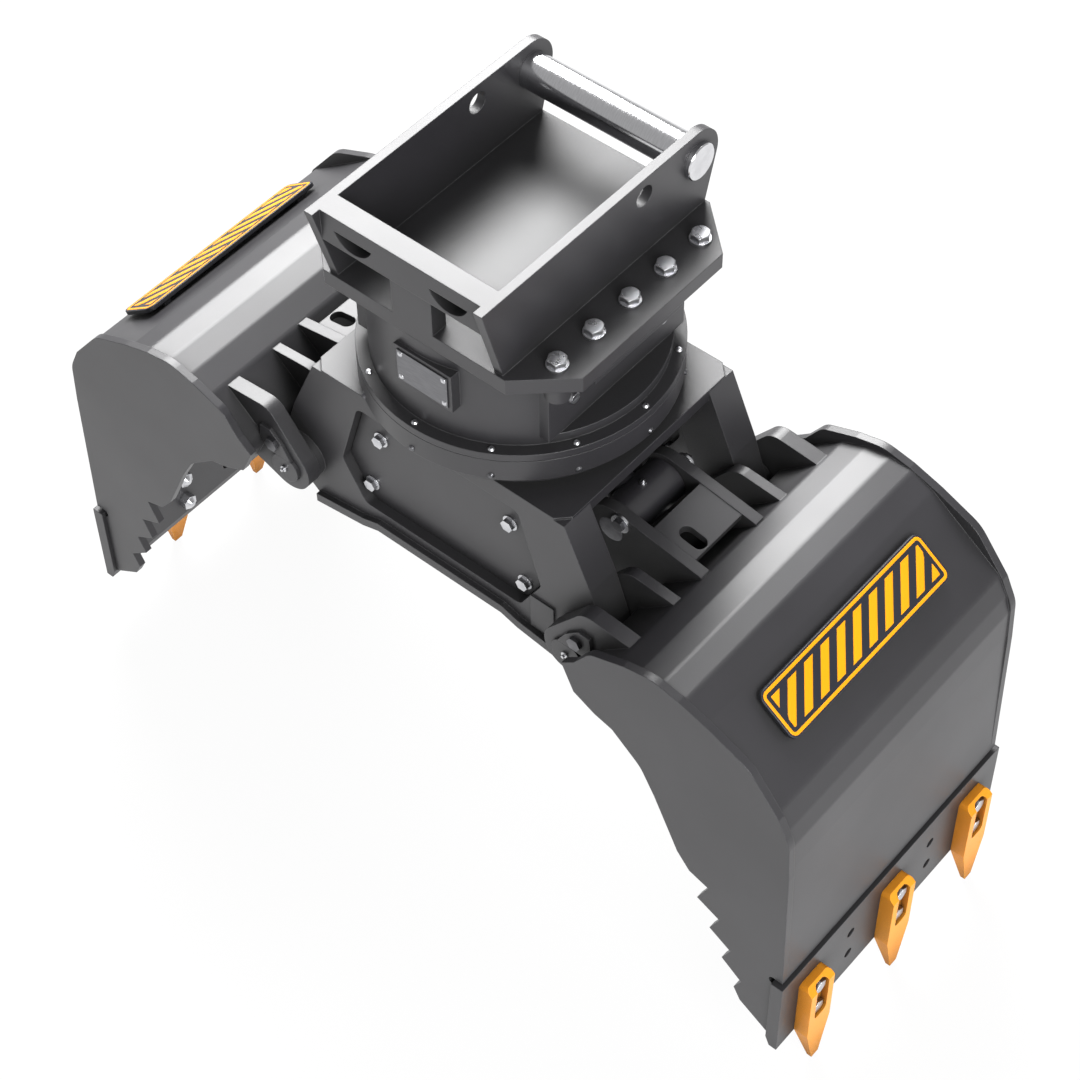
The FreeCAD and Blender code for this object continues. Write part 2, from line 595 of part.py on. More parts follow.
def window(grow):
    """The six-sided window of a side wall, grown all round by some distance."""
    top, mid, low = s.window_top + grow, s.window_mid_z - grow * 0.157, s.window_low_z - grow
    xt, xm, xl = s.window_top_x + grow * 0.755, s.window_mid_x + grow * 1.084, s.window_low_x + grow * 0.552
    r = s.window_round
    return [(-xt, top, r), (-xm, mid, r), (-xl, low, r), (xl, low, r), (xm, mid, r), (xt, top, r)]


lip_low = s.belly_z
lip_mid = s.belly_z - s.lip_drop
lip_end = s.belly_z - s.lip_tail_drop
rise = s.lip_high
right_low = [(s.belly_half_x, lip_low), (s.lip_mid_x, lip_mid), (s.lip_tail_x, lip_end)]
wall_right = [(s.belly_half_x, lip_low + rise / 2), (s.lip_mid_x, lip_mid + rise / 2),
              (s.lip_tail_x, lip_end + rise / 2),
              eye_corner(px, pz, s.tube_radius, s.tube_low_angle, s.end_angle), shoulder(0), frame_end(0)]
wall_outline = wall_right + [(-c[0],) + c[1:] for c in reversed(wall_right)]
wall_body = plate("wall_body", "XZ", wall_outline, -ay, s.wall_thick, )
wall = cut("wall", wall_body, [plate("window_cut", "XZ", window(0), -ay - 1, s.wall_thick + 2)])
ledge = cut("ledge", plate("ledge_body", "XZ", window(s.cover_ledge / 2), s.wall_thick - ay, s.ledge_thick),
            [plate("ledge_cut", "XZ", window(-s.cover_ledge), s.wall_thick - ay - 1, s.ledge_thick + 2)])
lip_outline = right_low + [(s.lip_tail_x, lip_end + rise), (s.lip_mid_x, lip_mid + rise),
                           (s.belly_half_x, lip_low + rise)]
lip_outline = lip_outline + [(-x, z) for x, z in reversed(lip_outline)]
lip_bar = plate("frame_lip", "XZ", lip_outline, -ay - s.lip_out, s.lip_out + s.wall_thick)
inner_wall = s.wall_thick - ay
halves = [wall, ledge, lip_bar]
for side in (1, -1):
    def flip(points):
        if side > 0:
            return points
        return [(-c[0],) + tuple(c[1:]) for c in reversed(points)]
    strip = [frame_end(0), frame_end(s.strip_thick), shoulder(s.strip_thick),
             on_tangent(px, pz, s.tube_radius - s.strip_thick, s.end_angle, 0),
             on_tangent(px, pz, s.tube_radius, s.end_angle, 0), shoulder(0)]
    halves.append(plate("end_strip", "XZ", flip(strip), -ay, ay - s.rib_y + s.rib_thick))
    rib = [(s.rib_in_x, deck_z + 1), (s.rib_in_x, deck_z - s.rib_drop), on_tangent(px, pz, s.tube_radius, 215, 0),
           on_tangent(px, pz, s.tube_radius, s.end_angle, 0), shoulder(0), frame_end(0)]
    halves.append(plate("rib", "XZ", flip(rib), -s.rib_y, s.rib_thick))
    halves.append(rod("hinge_tube", "Y", side * px, -s.tube_outer, pz, s.tube_radius, s.tube_outer - s.tube_inner))
half = fuse("frame_half", halves)
half_far = mirror("frame_half_far", half, MIRROR_Y)
belly = box("belly", -s.belly_half_x, inner_wall, s.belly_z, s.belly_half_x * 2, -inner_wall * 2, s.belly_thick)
wall_pad = box("wall_pad", s.pad_x, -ay - s.pad_high, s.pad_z, s.pad_long, s.pad_high + 2, s.pad_tall)
frame_solid = fuse("frame_solid", [deck, half, half_far, belly, wall_pad])
cover_spots = [(i * s.cover_bolt_x1, s.cover_bolt_z1) for i in (-1, 1)]
cover_spots += [(i * s.cover_bolt_x2, s.cover_bolt_z2) for i in (-1, 1)]
frame_hollows = [rod("tube_bore", "Y", i * px, -s.tube_outer - 1, pz, s.bush_radius, s.tube_outer * 2 + 2)
                 for i in (-1, 1)]
frame_hollows += [rod("ledge_hole", "Y", x, -ay - 1, z, s.cover_bolt_radius + s.thread_gap, ay * 2 + 2)
                  for x, z in cover_spots]
node("main_frame", cut("main_frame", frame_solid, frame_hollows, refine=False))

# Covers in the frame windows and their bolts
cover_face = -ay + s.wall_thick - s.cover_thick
cover = plate("cover", "XZ", window(-s.cover_gap), cover_face, s.cover_thick,
              [(x, z, s.cover_bolt_radius + s.bolt_play) for x, z in cover_spots])
node("front_cover", cover)
node("rear_cover", mirror("rear_cover", cover, MIRROR_Y))
cover_bolts = []
for x, z in cover_spots:
    collar = rod("cover_collar", "Y", x, cover_face - s.cover_collar_thick, z, s.cover_collar_radius,
                 s.cover_collar_thick)
    head = hexagon("cover_head", "Y", x, cover_face - s.cover_collar_thick - s.cover_bolt_head, z,
                   s.cover_bolt_corner, s.cover_bolt_head)
    shank = rod("cover_shank", "Y", x, cover_face, z, s.cover_bolt_radius, s.cover_thick + s.ledge_thick)
    cover_bolts.append(fuse("cover_bolt", [collar, head, shank]))
cover_bolt_set = group("cover_bolt_set", cover_bolts)
node("cover_bolts", group("cover_bolts", [cover_bolt_set, mirror("cover_bolts_far", cover_bolt_set, MIRROR_Y)]))

bush = ring("hinge_bush", "Y", px, -s.tube_outer + s.bush_inset, pz, s.bush_radius, s.pin_radius + s.running,
            s.tube_outer - s.tube_inner - s.bush_inset * 2)
bush_pair = group("bush_pair", [bush, mirror("bush_far", bush, MIRROR_Y)])
node("hinge_bushes", group("hinge_bushes", [bush_pair, mirror("bush_left", bush_pair, MIRROR_X)]))

# Right jaw: side plates, folded shell, lugs, levers and tie plate
REACH, DROP = 426, 538


def jaw_at(dx, dz):
    """A point of the jaw, counted from the hinge in the drawing's units and scaled to the reach."""
    return px + (s.edge_x - px) * (dx / REACH), pz + (pz - s.edge_bottom) * (dz / DROP)


def band(points, thick, bend, first_bend):
    """A folded sheet from its outer line: the inner line lies a thickness to the right of it."""
    spots = [(x.value, z.value) for x, z in points]
    last = len(spots) - 1
    normals = []
    for (x1, z1), (x2, z2) in zip(spots, spots[1:]):
        run = math.hypot(x2 - x1, z2 - z1)
        normals.append(((z2 - z1) / run, (x1 - x2) / run))
    outer = []
    inner = []
    for i, (x, z) in enumerate(points):
        n1, n2 = normals[max(i - 1, 0)], normals[min(i, last - 1)]
        share = 1 + n1[0] * n2[0] + n1[1] * n2[1]
        mx, mz = (n1[0] + n2[0]) / share, (n1[1] + n2[1]) / share
        radius = first_bend if i == 1 else bend
        tail = () if i in (0, last) else (radius,)
        inner_tail = () if i in (0, last) else (radius - thick,)
        outer.append((x, z) + tail)
        inner.append((x + thick * mx, z + thick * mz) + inner_tail)
    return outer + inner[::-1]


sign_top, sign_foot = jaw_at(261, 106), jaw_at(381, 18)
shell_line = [jaw_at(60, -15), jaw_at(36, 32), jaw_at(108, 99), jaw_at(148, 116), jaw_at(186, 124),
              jaw_at(224.5, 121), sign_top, sign_foot, jaw_at(398, -14), jaw_at(407, -44), jaw_at(410, -94)]
shell_end = (s.edge_x - s.shell_step, s.edge_bottom + s.edge_high + s.groove)
shell_line.append(shell_end)
shell = plate("shell", "XZ", band(shell_line, s.shell_thick, s.fold_radius, s.fold_radius),
              -s.jaw_half_y + s.jaw_side, (s.jaw_half_y - s.jaw_side) * 2)
edge_in = s.edge_x - s.edge_thick
edge_top = s.edge_bottom + s.edge_high
side_outline = [jaw_at(25, 42), jaw_at(47, 61), jaw_at(73, 100) + (30,), jaw_at(129, 122), jaw_at(174, 133) + (60,),
                jaw_at(220, 124), jaw_at(268, 108), jaw_at(335, 79) + (60,), jaw_at(388, 12), jaw_at(408, -30) + (60,),
                jaw_at(413, -108)]
side_outline += [(s.edge_x - s.shell_step, edge_top + s.groove), (edge_in, edge_top + s.groove),
                 (edge_in, s.edge_bottom + s.edge_bevel), jaw_at(353, -484)]
for step in (3, 2, 1, 0):
    notch_x, notch_z = 286 + 22.3 * step, -255 - 60 * step
    side_outline += [jaw_at(notch_x - 18 + 2 * step, notch_z - 40 + 5 * step), jaw_at(notch_x, notch_z)]
side_outline += [jaw_at(252, -243), jaw_at(230, -215), jaw_at(187, -121), jaw_at(162, -75) + (60,),
                 jaw_at(113, -33), jaw_at(82, -24), jaw_at(46, -5)]
side_body = plate("jaw_side", "XZ", side_outline, -s.jaw_half_y, s.jaw_side)
side_near = cut("jaw_side_near", side_body, [rod("mouse_hole", "Y", edge_in, -s.jaw_half_y - 1, edge_top,
                                                 s.mouse_hole, s.jaw_side + 2)])
side_far = mirror("jaw_side_far", side_near, MIRROR_Y)

weld = s.shell_thick / 2
shell_seat = [(jaw_at(60, -15)[0] + weld, jaw_at(60, -15)[1] + 2), (jaw_at(36, 32)[0] + weld, jaw_at(36, 32)[1]),
              (jaw_at(108, 99)[0] + 2, jaw_at(108, 99)[1] - weld / 2)]
lug_low = on_tangent(px, pz, s.lug_radius, 292, s.lug_foot)
lug_top = on_tangent(px, pz, s.lug_radius, 143, -s.lug_rise)
lug_outline = [lug_low, eye_corner(px, pz, s.lug_radius, 143, 292), lug_top + (s.lug_round,), shell_seat[2],
               shell_seat[1], shell_seat[0]]
lug_spots = [(-s.lug_outer, s.lug_thick), (-s.lug_inner, s.lug_inner_thick)]
lugs = [plate("lug", "XZ", lug_outline, start, thick) for start, thick in lug_spots]
ex, ez = px - s.eye_back, pz + s.eye_up
lever_outline = [on_tangent(ex, ez, s.eye_radius, 80.5, -s.lever_top_run),
                 eye_corner(ex, ez, s.eye_radius, 80.5, 214.4),
                 on_tangent(ex, ez, s.eye_radius, 214.4, s.lever_low_run), shell_seat[0], shell_seat[1], shell_seat[2]]
lever = plate("lever", "XZ", lever_outline, -s.lever_y, s.lever_thick)
near_parts = lugs + [lever]
far_parts = [mirror(item.Name + "_far", item, MIRROR_Y) for item in near_parts]
lever_in = s.lever_y - s.lever_thick
tie_high, tie_low = s.eye_radius - s.tie_set, s.eye_radius - s.tie_set - s.tie_thick
tie_outline = [on_tangent(ex, ez, tie_high, 80.5, -s.tie_start), on_tangent(ex, ez, tie_high, 80.5, -s.tie_end),
               on_tangent(ex, ez, tie_low, 80.5, -s.tie_end), on_tangent(ex, ez, tie_low, 80.5, -s.tie_start)]
tie = plate("tie", "XZ", tie_outline, -lever_in, lever_in * 2)
tie_z = pz + s.tie_up
face = s.edge_x - s.shell_step - 2
backing = plate("edge_backing", "XZ", [
    (edge_in - s.shell_thick, edge_top - s.backing_low), (edge_in, edge_top - s.backing_low),
    (edge_in, edge_top + s.groove), (face, edge_top + s.groove), (face, edge_top + s.backing_high / 2),
    (edge_in - s.shell_thick, edge_top + s.backing_high)], -s.jaw_half_y + s.jaw_side,
    (s.jaw_half_y - s.jaw_side) * 2)
jaw_solid = fuse("jaw_solid", [side_near, side_far, shell, backing, tie] + near_parts + far_parts)
keeper_x, keeper_z = px + s.keeper_bolt_x, pz + s.keeper_bolt_z
clip_x, clip_z = ex + s.clip_x, ez + s.clip_z
jaw_hollows = [
    rod("lug_bore", "Y", px, -s.lug_outer - 1, pz, s.pin_radius + s.push, s.lug_outer * 2 + 2),
    rod("eye_bore", "Y", ex, -s.lever_y - 1, ez, s.cylinder_pin_radius + s.push, s.lever_y * 2 + 2),
    rod("tie_hole_left", "Z", px + s.tie_hole_x - s.tie_hole_long / 2, -s.tie_hole_y, tie_z - s.tie_hole_deep,
        s.tie_hole_radius, s.tie_hole_deep),
    rod("tie_hole_right", "Z", px + s.tie_hole_x + s.tie_hole_long / 2, -s.tie_hole_y, tie_z - s.tie_hole_deep,
        s.tie_hole_radius, s.tie_hole_deep),
    box("tie_hole_mid", px + s.tie_hole_x - s.tie_hole_long / 2, -s.tie_hole_y - s.tie_hole_radius,
        tie_z - s.tie_hole_deep, s.tie_hole_long, s.tie_hole_radius * 2, s.tie_hole_deep),
]
for start in (-s.lug_outer, s.lug_outer - s.keeper_deep):
    jaw_hollows.append(rod("keeper_thread", "Y", keeper_x, start, keeper_z, s.keeper_bolt_radius + s.thread_gap,
                           s.keeper_deep))
for start in (-s.lever_y, s.lever_y - s.clip_deep):
    jaw_hollows.append(rod("clip_thread", "Y", clip_x, start, clip_z, s.clip_bolt_radius + s.thread_gap, s.clip_deep))
jaw_right = cut("jaw_right", jaw_solid, jaw_hollows)


def edge(name, flip=False):
    """The cutting edge plate with bolt holes at every tooth station."""
    outline = [(edge_in, s.edge_bottom + s.edge_bevel), (edge_in + s.edge_thick * 0.35, s.edge_bottom),
               (s.edge_x, s.edge_bottom), (s.edge_x, edge_top), (edge_in, edge_top)]
    body = plate(name + "_body", "XZ", outline, -s.edge_half_y, s.edge_half_y * 2)
    holes = [rod("edge_hole", "X", edge_in - 1, station * s.tooth_pitch, z, s.tooth_bolt_radius + s.bolt_play,
                 s.edge_thick + 2) for station in range(-2, 3) for z in (s.tooth_hole_z1, s.tooth_hole_z2)]
    return cut(name, body, holes)


def tooth(station):
    """One bolt-on tooth: side profile and front profile meet, then the pocket and its two holes are cut."""
    y = station * s.tooth_pitch
    out = s.edge_x + s.tooth_thick
    tip_in = out - s.tooth_tip_thick
    profile = [(s.edge_x, s.tooth_top), (s.edge_x, s.edge_bottom), (tip_in, s.tooth_tip), (out, s.tooth_tip),
               (out, s.tooth_top - s.tooth_bevel), (out - s.tooth_bevel, s.tooth_top)]
    w, t = s.tooth_wide / 2, s.tooth_tip_wide / 2
    front = [(y - t, s.tooth_tip), (y + t, s.tooth_tip), (y + w, s.tooth_shoulder), (y + w, s.tooth_top, 8),
             (y - w, s.tooth_top, 8), (y - w, s.tooth_shoulder)]
    blank = common("tooth_blank", [plate("tooth_side", "XZ", profile, y - w, w * 2),
                                   plate("tooth_front", "YZ", front, s.edge_x - 1, s.tooth_thick + 2)])
    mid = (s.tooth_hole_z1 + s.tooth_hole_z2) / 2
    hw, hl = s.pocket_wide / 2, s.pocket_long / 2
    pocket = plate("tooth_pocket", "YZ", [(y - hw, mid - hl, 8), (y + hw, mid - hl, 8), (y + hw, mid + hl, 8),
                                          (y - hw, mid + hl, 8)], out - s.pocket_deep, s.pocket_deep + 1)
    holes = [rod("tooth_hole", "X", s.edge_x - 1, y, z, s.tooth_bolt_radius + s.bolt_play, s.tooth_thick)
             for z in (s.tooth_hole_z1, s.tooth_hole_z2)]
    return cut("tooth", blank, [pocket] + holes)


def tooth_bolt(station, z):
    y = station * s.tooth_pitch
    seat = s.edge_x + s.tooth_thick - s.pocket_deep
    low = edge_in - s.nut_high
    crown = hexagon("tooth_bolt_head", "X", seat, y, z, s.tooth_head_corner, s.tooth_head_high)
    shank = rod("tooth_bolt_shank", "X", low, y, z, s.tooth_bolt_radius, seat - low)
    return fuse("tooth_bolt", [crown, shank])


def tooth_nut(station, z):
    y = station * s.tooth_pitch
    body = hexagon("nut_body", "X", edge_in - s.nut_high, y, z, s.nut_corner, s.nut_high)
    dome = cone("nut_dome", "X", edge_in - s.nut_high - s.dome_high, y, z, s.tooth_bolt_radius * 0.6,
                s.nut_corner * 0.8, s.dome_high)
    thread = rod("nut_thread", "X", edge_in - s.nut_high, y, z, s.tooth_bolt_radius + s.thread_gap, s.nut_high + 1)
    return cut("tooth_nut", fuse("nut_solid", [body, dome]), [thread])


run_x, run_z = sign_foot[0] - sign_top[0], sign_foot[1] - sign_top[1]
run_long = root(run_x * run_x + run_z * run_z)
ux, uz = run_x / run_long, run_z / run_long


def on_facet(along, up):
    """A point over the sign facet: so far down it from its upper fold, so high above it."""
    return sign_top[0] + ux * along - uz * up, sign_top[1] + uz * along + ux * up


def sign(start):
    """A sign plate held off the shell by two spacer bars."""
    end = start + s.sign_wide
    low, high = s.sign_gap, s.sign_gap + s.sign_thick
    board = plate("sign_board", "XZ", [on_facet(start, low), on_facet(end, low), on_facet(end, high),
                                       on_facet(start, high)], -s.sign_long / 2, s.sign_long)
    bar = [on_facet(start + 8, 0), on_facet(end - 8, 0), on_facet(end - 8, high), on_facet(start + 8, high)]
    spacers = [plate("sign_spacer", "XZ", bar, y, s.spacer_wide)
               for y in (s.spacer_in - s.sign_long / 2, s.sign_long / 2 - s.spacer_in - s.spacer_wide)]
    return fuse("sign", [board] + spacers)


pin_start = -s.pin_end
pin_body = rod("pin_body", "Y", px, pin_start, pz, s.pin_radius, s.pin_end - s.lug_inner + s.lug_inner_thick)
pin_flat = box("pin_flat", px - s.pin_radius, pin_start - 1, pz + s.keeper_low - s.keeper_gap, s.pin_radius * 2,
               s.pin_end - s.lug_outer + 1, s.pin_radius)
pin_dimple = rod("pin_dimple", "Y", px, pin_start - 1, pz, s.nipple_radius, s.nipple_deep + 1)
pin = cut("pin", pin_body, [pin_flat, pin_dimple])
keeper_thick = s.pin_end - s.lug_outer
keeper_outline = [(px + s.keeper_bolt_x - 32, pz + s.keeper_low), (px + s.keeper_bolt_x + 12, pz + s.keeper_low),
                  (px + s.keeper_bolt_x + 26, pz + s.keeper_bolt_z), (px + s.keeper_bolt_x + 23, keeper_z + 24),
                  (px + s.keeper_bolt_x + 4, keeper_z + 25), (px + s.keeper_bolt_x - 18, keeper_z + 4)]
keeper = plate("keeper", "XZ", keeper_outline, -s.pin_end, keeper_thick,
               [(keeper_x, keeper_z, s.keeper_bolt_radius + s.bolt_play)])
keeper_crown = hexagon("keeper_head", "Y", keeper_x, -s.pin_end - s.keeper_bolt_head, keeper_z,
                       s.keeper_bolt_corner, s.keeper_bolt_head)
keeper_shank = rod("keeper_shank", "Y", keeper_x, -s.pin_end, keeper_z, s.keeper_bolt_radius,
                   keeper_thick + s.keeper_deep - 2)
keeper_bolt = fuse("keeper_bolt", [keeper_crown, keeper_shank])


def nipple(name, axis, x, y, z, sign_out):
    """A grease nipple: a stem in the dimple and a ball end outside."""
    size_out = s.nipple_high
    if sign_out < 0:
        stem = rod(name + "_stem", axis, x, y - size_out if axis == "Y" else y, z, s.nipple_radius * 0.7,
                   size_out + s.nipple_deep - 0.5)
        crown = rod(name + "_hex", axis, x, y - 3, z, s.nipple_radius * 1.5, 3)
        return fuse(name, [stem, crown])
    stem = rod(name + "_stem", axis, x, y, z - s.nipple_deep + 0.5, s.nipple_radius * 0.7,
               size_out + s.nipple_deep - 0.5)
    crown = rod(name + "_hex", axis, x, y, z, s.nipple_radius * 1.5, 3)
    return fuse(name, [stem, crown])


pin_nipple = nipple("pin_nipple", "Y", px, pin_start, pz, -1)
cylinder_pin = rod("cylinder_pin", "Y", ex, -s.lever_y, ez, s.cylinder_pin_radius, s.lever_y * 2)
clip_washer = ring("clip_washer", "Y", clip_x, -s.lever_y - s.clip_thick, clip_z, s.clip_radius,
                   s.clip_bolt_radius + s.bolt_play, s.clip_thick)
clip_crown = hexagon("clip_head", "Y", clip_x, -s.lever_y - s.clip_thick - s.keeper_bolt_head, clip_z,
                     s.clip_bolt_radius * 1.75, s.keeper_bolt_head)
clip_shank = rod("clip_shank", "Y", clip_x, -s.lever_y - s.clip_thick, clip_z, s.clip_bolt_radius,
                 s.clip_thick + s.clip_deep - 2)
clip_bolt = fuse("clip_bolt", [clip_crown, clip_shank])


def both_sides(name, item):
    return group(name, [item, mirror(name + "_opposite", item, MIRROR_Y)])


right_parts = {
    "jaw": jaw_right,
    "edge": edge("edge_plate"),
    "hinge_pins": both_sides("hinge_pins", pin),
    "hinge_keepers": both_sides("hinge_keepers", keeper),
    "keeper_bolts": both_sides("keeper_bolts", keeper_bolt),
    "pin_nipples": both_sides("pin_nipples", pin_nipple),
    "cylinder_pin": cylinder_pin,
    "pin_clips": both_sides("pin_clips", clip_washer),
    "clip_bolts": both_sides("clip_bolts", clip_bolt),
}
for kind, item in right_parts.items():
    node(kind + "_right", group(kind + "_right_set", [item]) if kind != "jaw" else item)
    node(kind + "_left", mirror(kind + "_left", item, MIRROR_X))

node("sign_right", sign(s.sign_from_right))
node("sign_left", mirror("sign_left", sign(s.sign_from_left), MIRROR_X))

for hand, stations in (("right", (-2, 0, 2)), ("left", (-1, 1))):
    parts = {
        "teeth": [tooth(k) for k in stations],
        "tooth_bolts": [tooth_bolt(k, z) for k in stations for z in (s.tooth_hole_z1, s.tooth_hole_z2)],
        "tooth_nuts": [tooth_nut(k, z) for k in stations for z in (s.tooth_hole_z1, s.tooth_hole_z2)],
    }
    for kind, items in parts.items():
        whole = group(kind + "_" + hand + "_set", items)
        node(kind + "_" + hand, whole if hand == "right" else mirror(kind + "_left", whole, MIRROR_X))

# Cylinder between the lever eyes
boss_half = lever_in - s.eye_boss_gap
barrel_x = -ex
barrel_parts = [
    rod("barrel_boss", "Y", barrel_x, -boss_half, ez, s.eye_boss_radius, boss_half * 2),
    rod("barrel_foot", "X", barrel_x + 10, 0, ez, s.eye_boss_radius - 4, s.barrel_start - 10),
    rod("barrel_tube", "X", barrel_x + s.barrel_start, 0, ez, s.barrel_radius, s.barrel_long),
]
port_spots = [s.barrel_start + 34, s.barrel_start + s.barrel_long - 44]
barrel_parts += [rod("port_boss", "Z", barrel_x + x, 0, ez + s.barrel_radius - 8, s.port_radius, s.port_high + 8)
                 for x in port_spots]
bore = s.barrel_radius - s.barrel_wall
barrel_hollows = [
    rod("barrel_bore", "X", barrel_x + s.barrel_start + s.barrel_base, 0, ez, bore, s.barrel_long),
    rod("barrel_eye", "Y", barrel_x, -boss_half - 1, ez, s.cylinder_pin_radius + s.eye_bush_wall, boss_half * 2 + 2),
    rod("barrel_dimple", "Z", barrel_x, 0, ez + s.eye_boss_radius - s.nipple_deep, s.nipple_radius, s.nipple_deep + 1),
]
barrel_hollows += [rod("port_bore", "Z", barrel_x + x, 0, ez + s.barrel_radius - s.barrel_wall - 2, s.port_bore,
                       s.port_high + s.barrel_wall + 4) for x in port_spots]
node("cylinder_barrel", cut("cylinder_barrel", fuse("barrel_body", barrel_parts), barrel_hollows))
barrel_end = barrel_x + s.barrel_start + s.barrel_long
gland_parts = [
    rod("gland_plug", "X", barrel_end - s.gland_deep, 0, ez, bore - s.push, s.gland_deep),
    rod("gland_flange", "X", barrel_end, 0, ez, s.barrel_radius, s.gland_thick),
]
node("cylinder_gland", cut("cylinder_gland", fuse("gland_body", gland_parts),
                           [rod("gland_bore", "X", barrel_end - s.gland_deep - 1, 0, ez, s.rod_radius + s.running,
                                s.gland_deep + s.gland_thick + 2)]))
rod_parts = [
    rod("rod_boss", "Y", ex, -boss_half, ez, s.eye_boss_radius, boss_half * 2),
    rod("rod_bar", "X", ex - s.rod_reach, 0, ez, s.rod_radius, s.rod_reach - 10),
]
rod_hollows = [
    rod("rod_eye", "Y", ex, -boss_half - 1, ez, s.cylinder_pin_radius + s.eye_bush_wall, boss_half * 2 + 2),
    rod("rod_dimple", "Z", ex, 0, ez + s.eye_boss_radius - s.nipple_deep, s.nipple_radius, s.nipple_deep + 1),
]
node("piston_rod", cut("piston_rod", fuse("rod_body", rod_parts), rod_hollows))
node("piston", ring("piston", "X", ex - s.rod_reach, 0, ez, bore - s.running, s.rod_radius + s.push, s.piston_long))
for hand, x in (("right", ex), ("left", barrel_x)):
    node("eye_bush_" + hand, ring("eye_bush_" + hand, "Y", x, -boss_half, ez, s.cylinder_pin_radius + s.eye_bush_wall,
                                  s.cylinder_pin_radius + s.running, boss_half * 2))
    node("eye_nipple_" + hand, nipple("eye_nipple_" + hand, "Z", x, 0, ez + s.eye_boss_radius, 1))

# Check every object, then write one file for each node
doc.recompute()
for item in doc.Objects:
    if "Invalid" in item.State or "Error" in item.State:
        raise RuntimeError(f"{item.Name} did not build: {item.State}")
for name, item in NODES.items():
    shape = item.Shape
    if shape.isNull() or not shape.isValid():
        raise RuntimeError(f"{name} has no valid shape")
    shape.exportStep(f"parts/{name}.step")
print(len(NODES), "nodes written")
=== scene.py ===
# %% [markdown]
# # Dressing a sorting grapple
# The grapple is a tool that hangs under an excavator's arm: a coupler head on top, a drum with the
# rotator below it, a box frame, and two jaws that close on each other like two cupped hands.
# Its solids are already made, so this lesson adds what the solids lack: paint, metal, the striped
# sign plates, the studio and the camera. The first cell loads the solids. Nothing that is added
# later may make the grapple any larger.

# %% load the grapple
import json

import bmesh
import bpy
import numpy as np
from mathutils import Matrix, Vector


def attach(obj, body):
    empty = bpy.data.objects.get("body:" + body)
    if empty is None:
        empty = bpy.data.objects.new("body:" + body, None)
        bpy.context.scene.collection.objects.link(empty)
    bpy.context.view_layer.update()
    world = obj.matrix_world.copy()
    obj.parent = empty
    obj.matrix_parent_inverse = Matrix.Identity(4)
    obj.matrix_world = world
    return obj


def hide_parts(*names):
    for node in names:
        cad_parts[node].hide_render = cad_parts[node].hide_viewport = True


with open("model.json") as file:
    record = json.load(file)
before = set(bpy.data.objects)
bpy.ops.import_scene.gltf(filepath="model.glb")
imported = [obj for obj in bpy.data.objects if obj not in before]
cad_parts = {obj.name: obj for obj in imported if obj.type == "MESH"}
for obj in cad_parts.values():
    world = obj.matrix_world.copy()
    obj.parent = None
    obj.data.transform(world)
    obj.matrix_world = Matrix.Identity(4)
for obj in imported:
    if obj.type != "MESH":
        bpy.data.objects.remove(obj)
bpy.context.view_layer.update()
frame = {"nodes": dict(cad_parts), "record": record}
grapple = frame["nodes"]

# %% [markdown]
# ## Where the photographer stood
# The grapple is seen from its front right and from well above, with a long lens. A camera could be
# placed by eye, but here its numbers come from bolt circles and pin centres whose size is known:
# two angles turn it round the grapple, a small roll tilts it, and the distance and the focal length
# are given in metres and in sensor widths. The camera's own axes are built first, then put in a matrix.

# %% camera
AZIMUTH, ELEVATION, ROLL = np.radians([41.0, 50.65, -1.149])
DISTANCE, AIM_RIGHT, AIM_UP = 3.5862, 0.01994, -0.28403
FOCAL_IN_WIDTHS = 2650.07 / 1080
SENSOR_MM, FARTHEST = 36, 60

backward = np.array([np.sin(AZIMUTH) * np.cos(ELEVATION), -np.cos(AZIMUTH) * np.cos(ELEVATION),
                     np.sin(ELEVATION)])
level_right = np.array([np.cos(AZIMUTH), np.sin(AZIMUTH), 0])
level_up = np.cross(backward, level_right)
eye = level_right * AIM_RIGHT + level_up * AIM_UP + backward * DISTANCE
tilted_right = level_right * np.cos(ROLL) + level_up * np.sin(ROLL)
tilted_up = level_up * np.cos(ROLL) - level_right * np.sin(ROLL)

camera = bpy.data.objects.new("camera", bpy.data.cameras.new("camera"))
camera.data.sensor_width = SENSOR_MM
camera.data.lens = SENSOR_MM * FOCAL_IN_WIDTHS
camera.data.clip_end = FARTHEST
turn = np.eye(4)
turn[:3, 0], turn[:3, 1], turn[:3, 2], turn[:3, 3] = tilted_right, tilted_up, backward, eye
camera.matrix_world = Matrix(turn.tolist())
bpy.context.collection.objects.link(camera)
bpy.context.scene.camera = camera
bpy.context.scene.view_settings.view_transform = "Standard"
print("camera at", eye.round(3), "lens", round(camera.data.lens, 2))

# %% [markdown]
# ## A short way to write node trees
# A material is a tree of nodes, and writing one by hand takes three lines a node. This helper makes a
# node, sets its choices, and fills its sockets: a plain value is typed in, a socket is wired up.

# %% node helper
def node(tree, kind, sockets=None, **choices):
    """Adds one shader node. sockets maps an input to a value or to the output that feeds it."""
    made = tree.nodes.new("ShaderNode" + kind)
    for name, value in choices.items():
        setattr(made, name, value)
    for name, value in (sockets or {}).items():
        if isinstance(value, bpy.types.NodeSocket):
            tree.links.new(value, made.inputs[name])
        else:
            made.inputs[name].default_value = value
    return made


def blank_material(name):
    """A new material with only an output node in it, and its tree."""
    material = bpy.data.materials.new(name)
    material.use_nodes = True
    material.node_tree.nodes.clear()
    return material, material.node_tree


print("node helper ready")

# %% [markdown]
# ## The floor and the white room
# The grapple is shown on white. Making the lamps so strong that the floor turns white would also
# bleach the grapple, so the floor stays an ordinary pale surface, and only the rays that come from
# the camera, or from a shiny surface, see it mixed with plain white. The rest of it is lit, so that
# the shadow under the teeth stays.

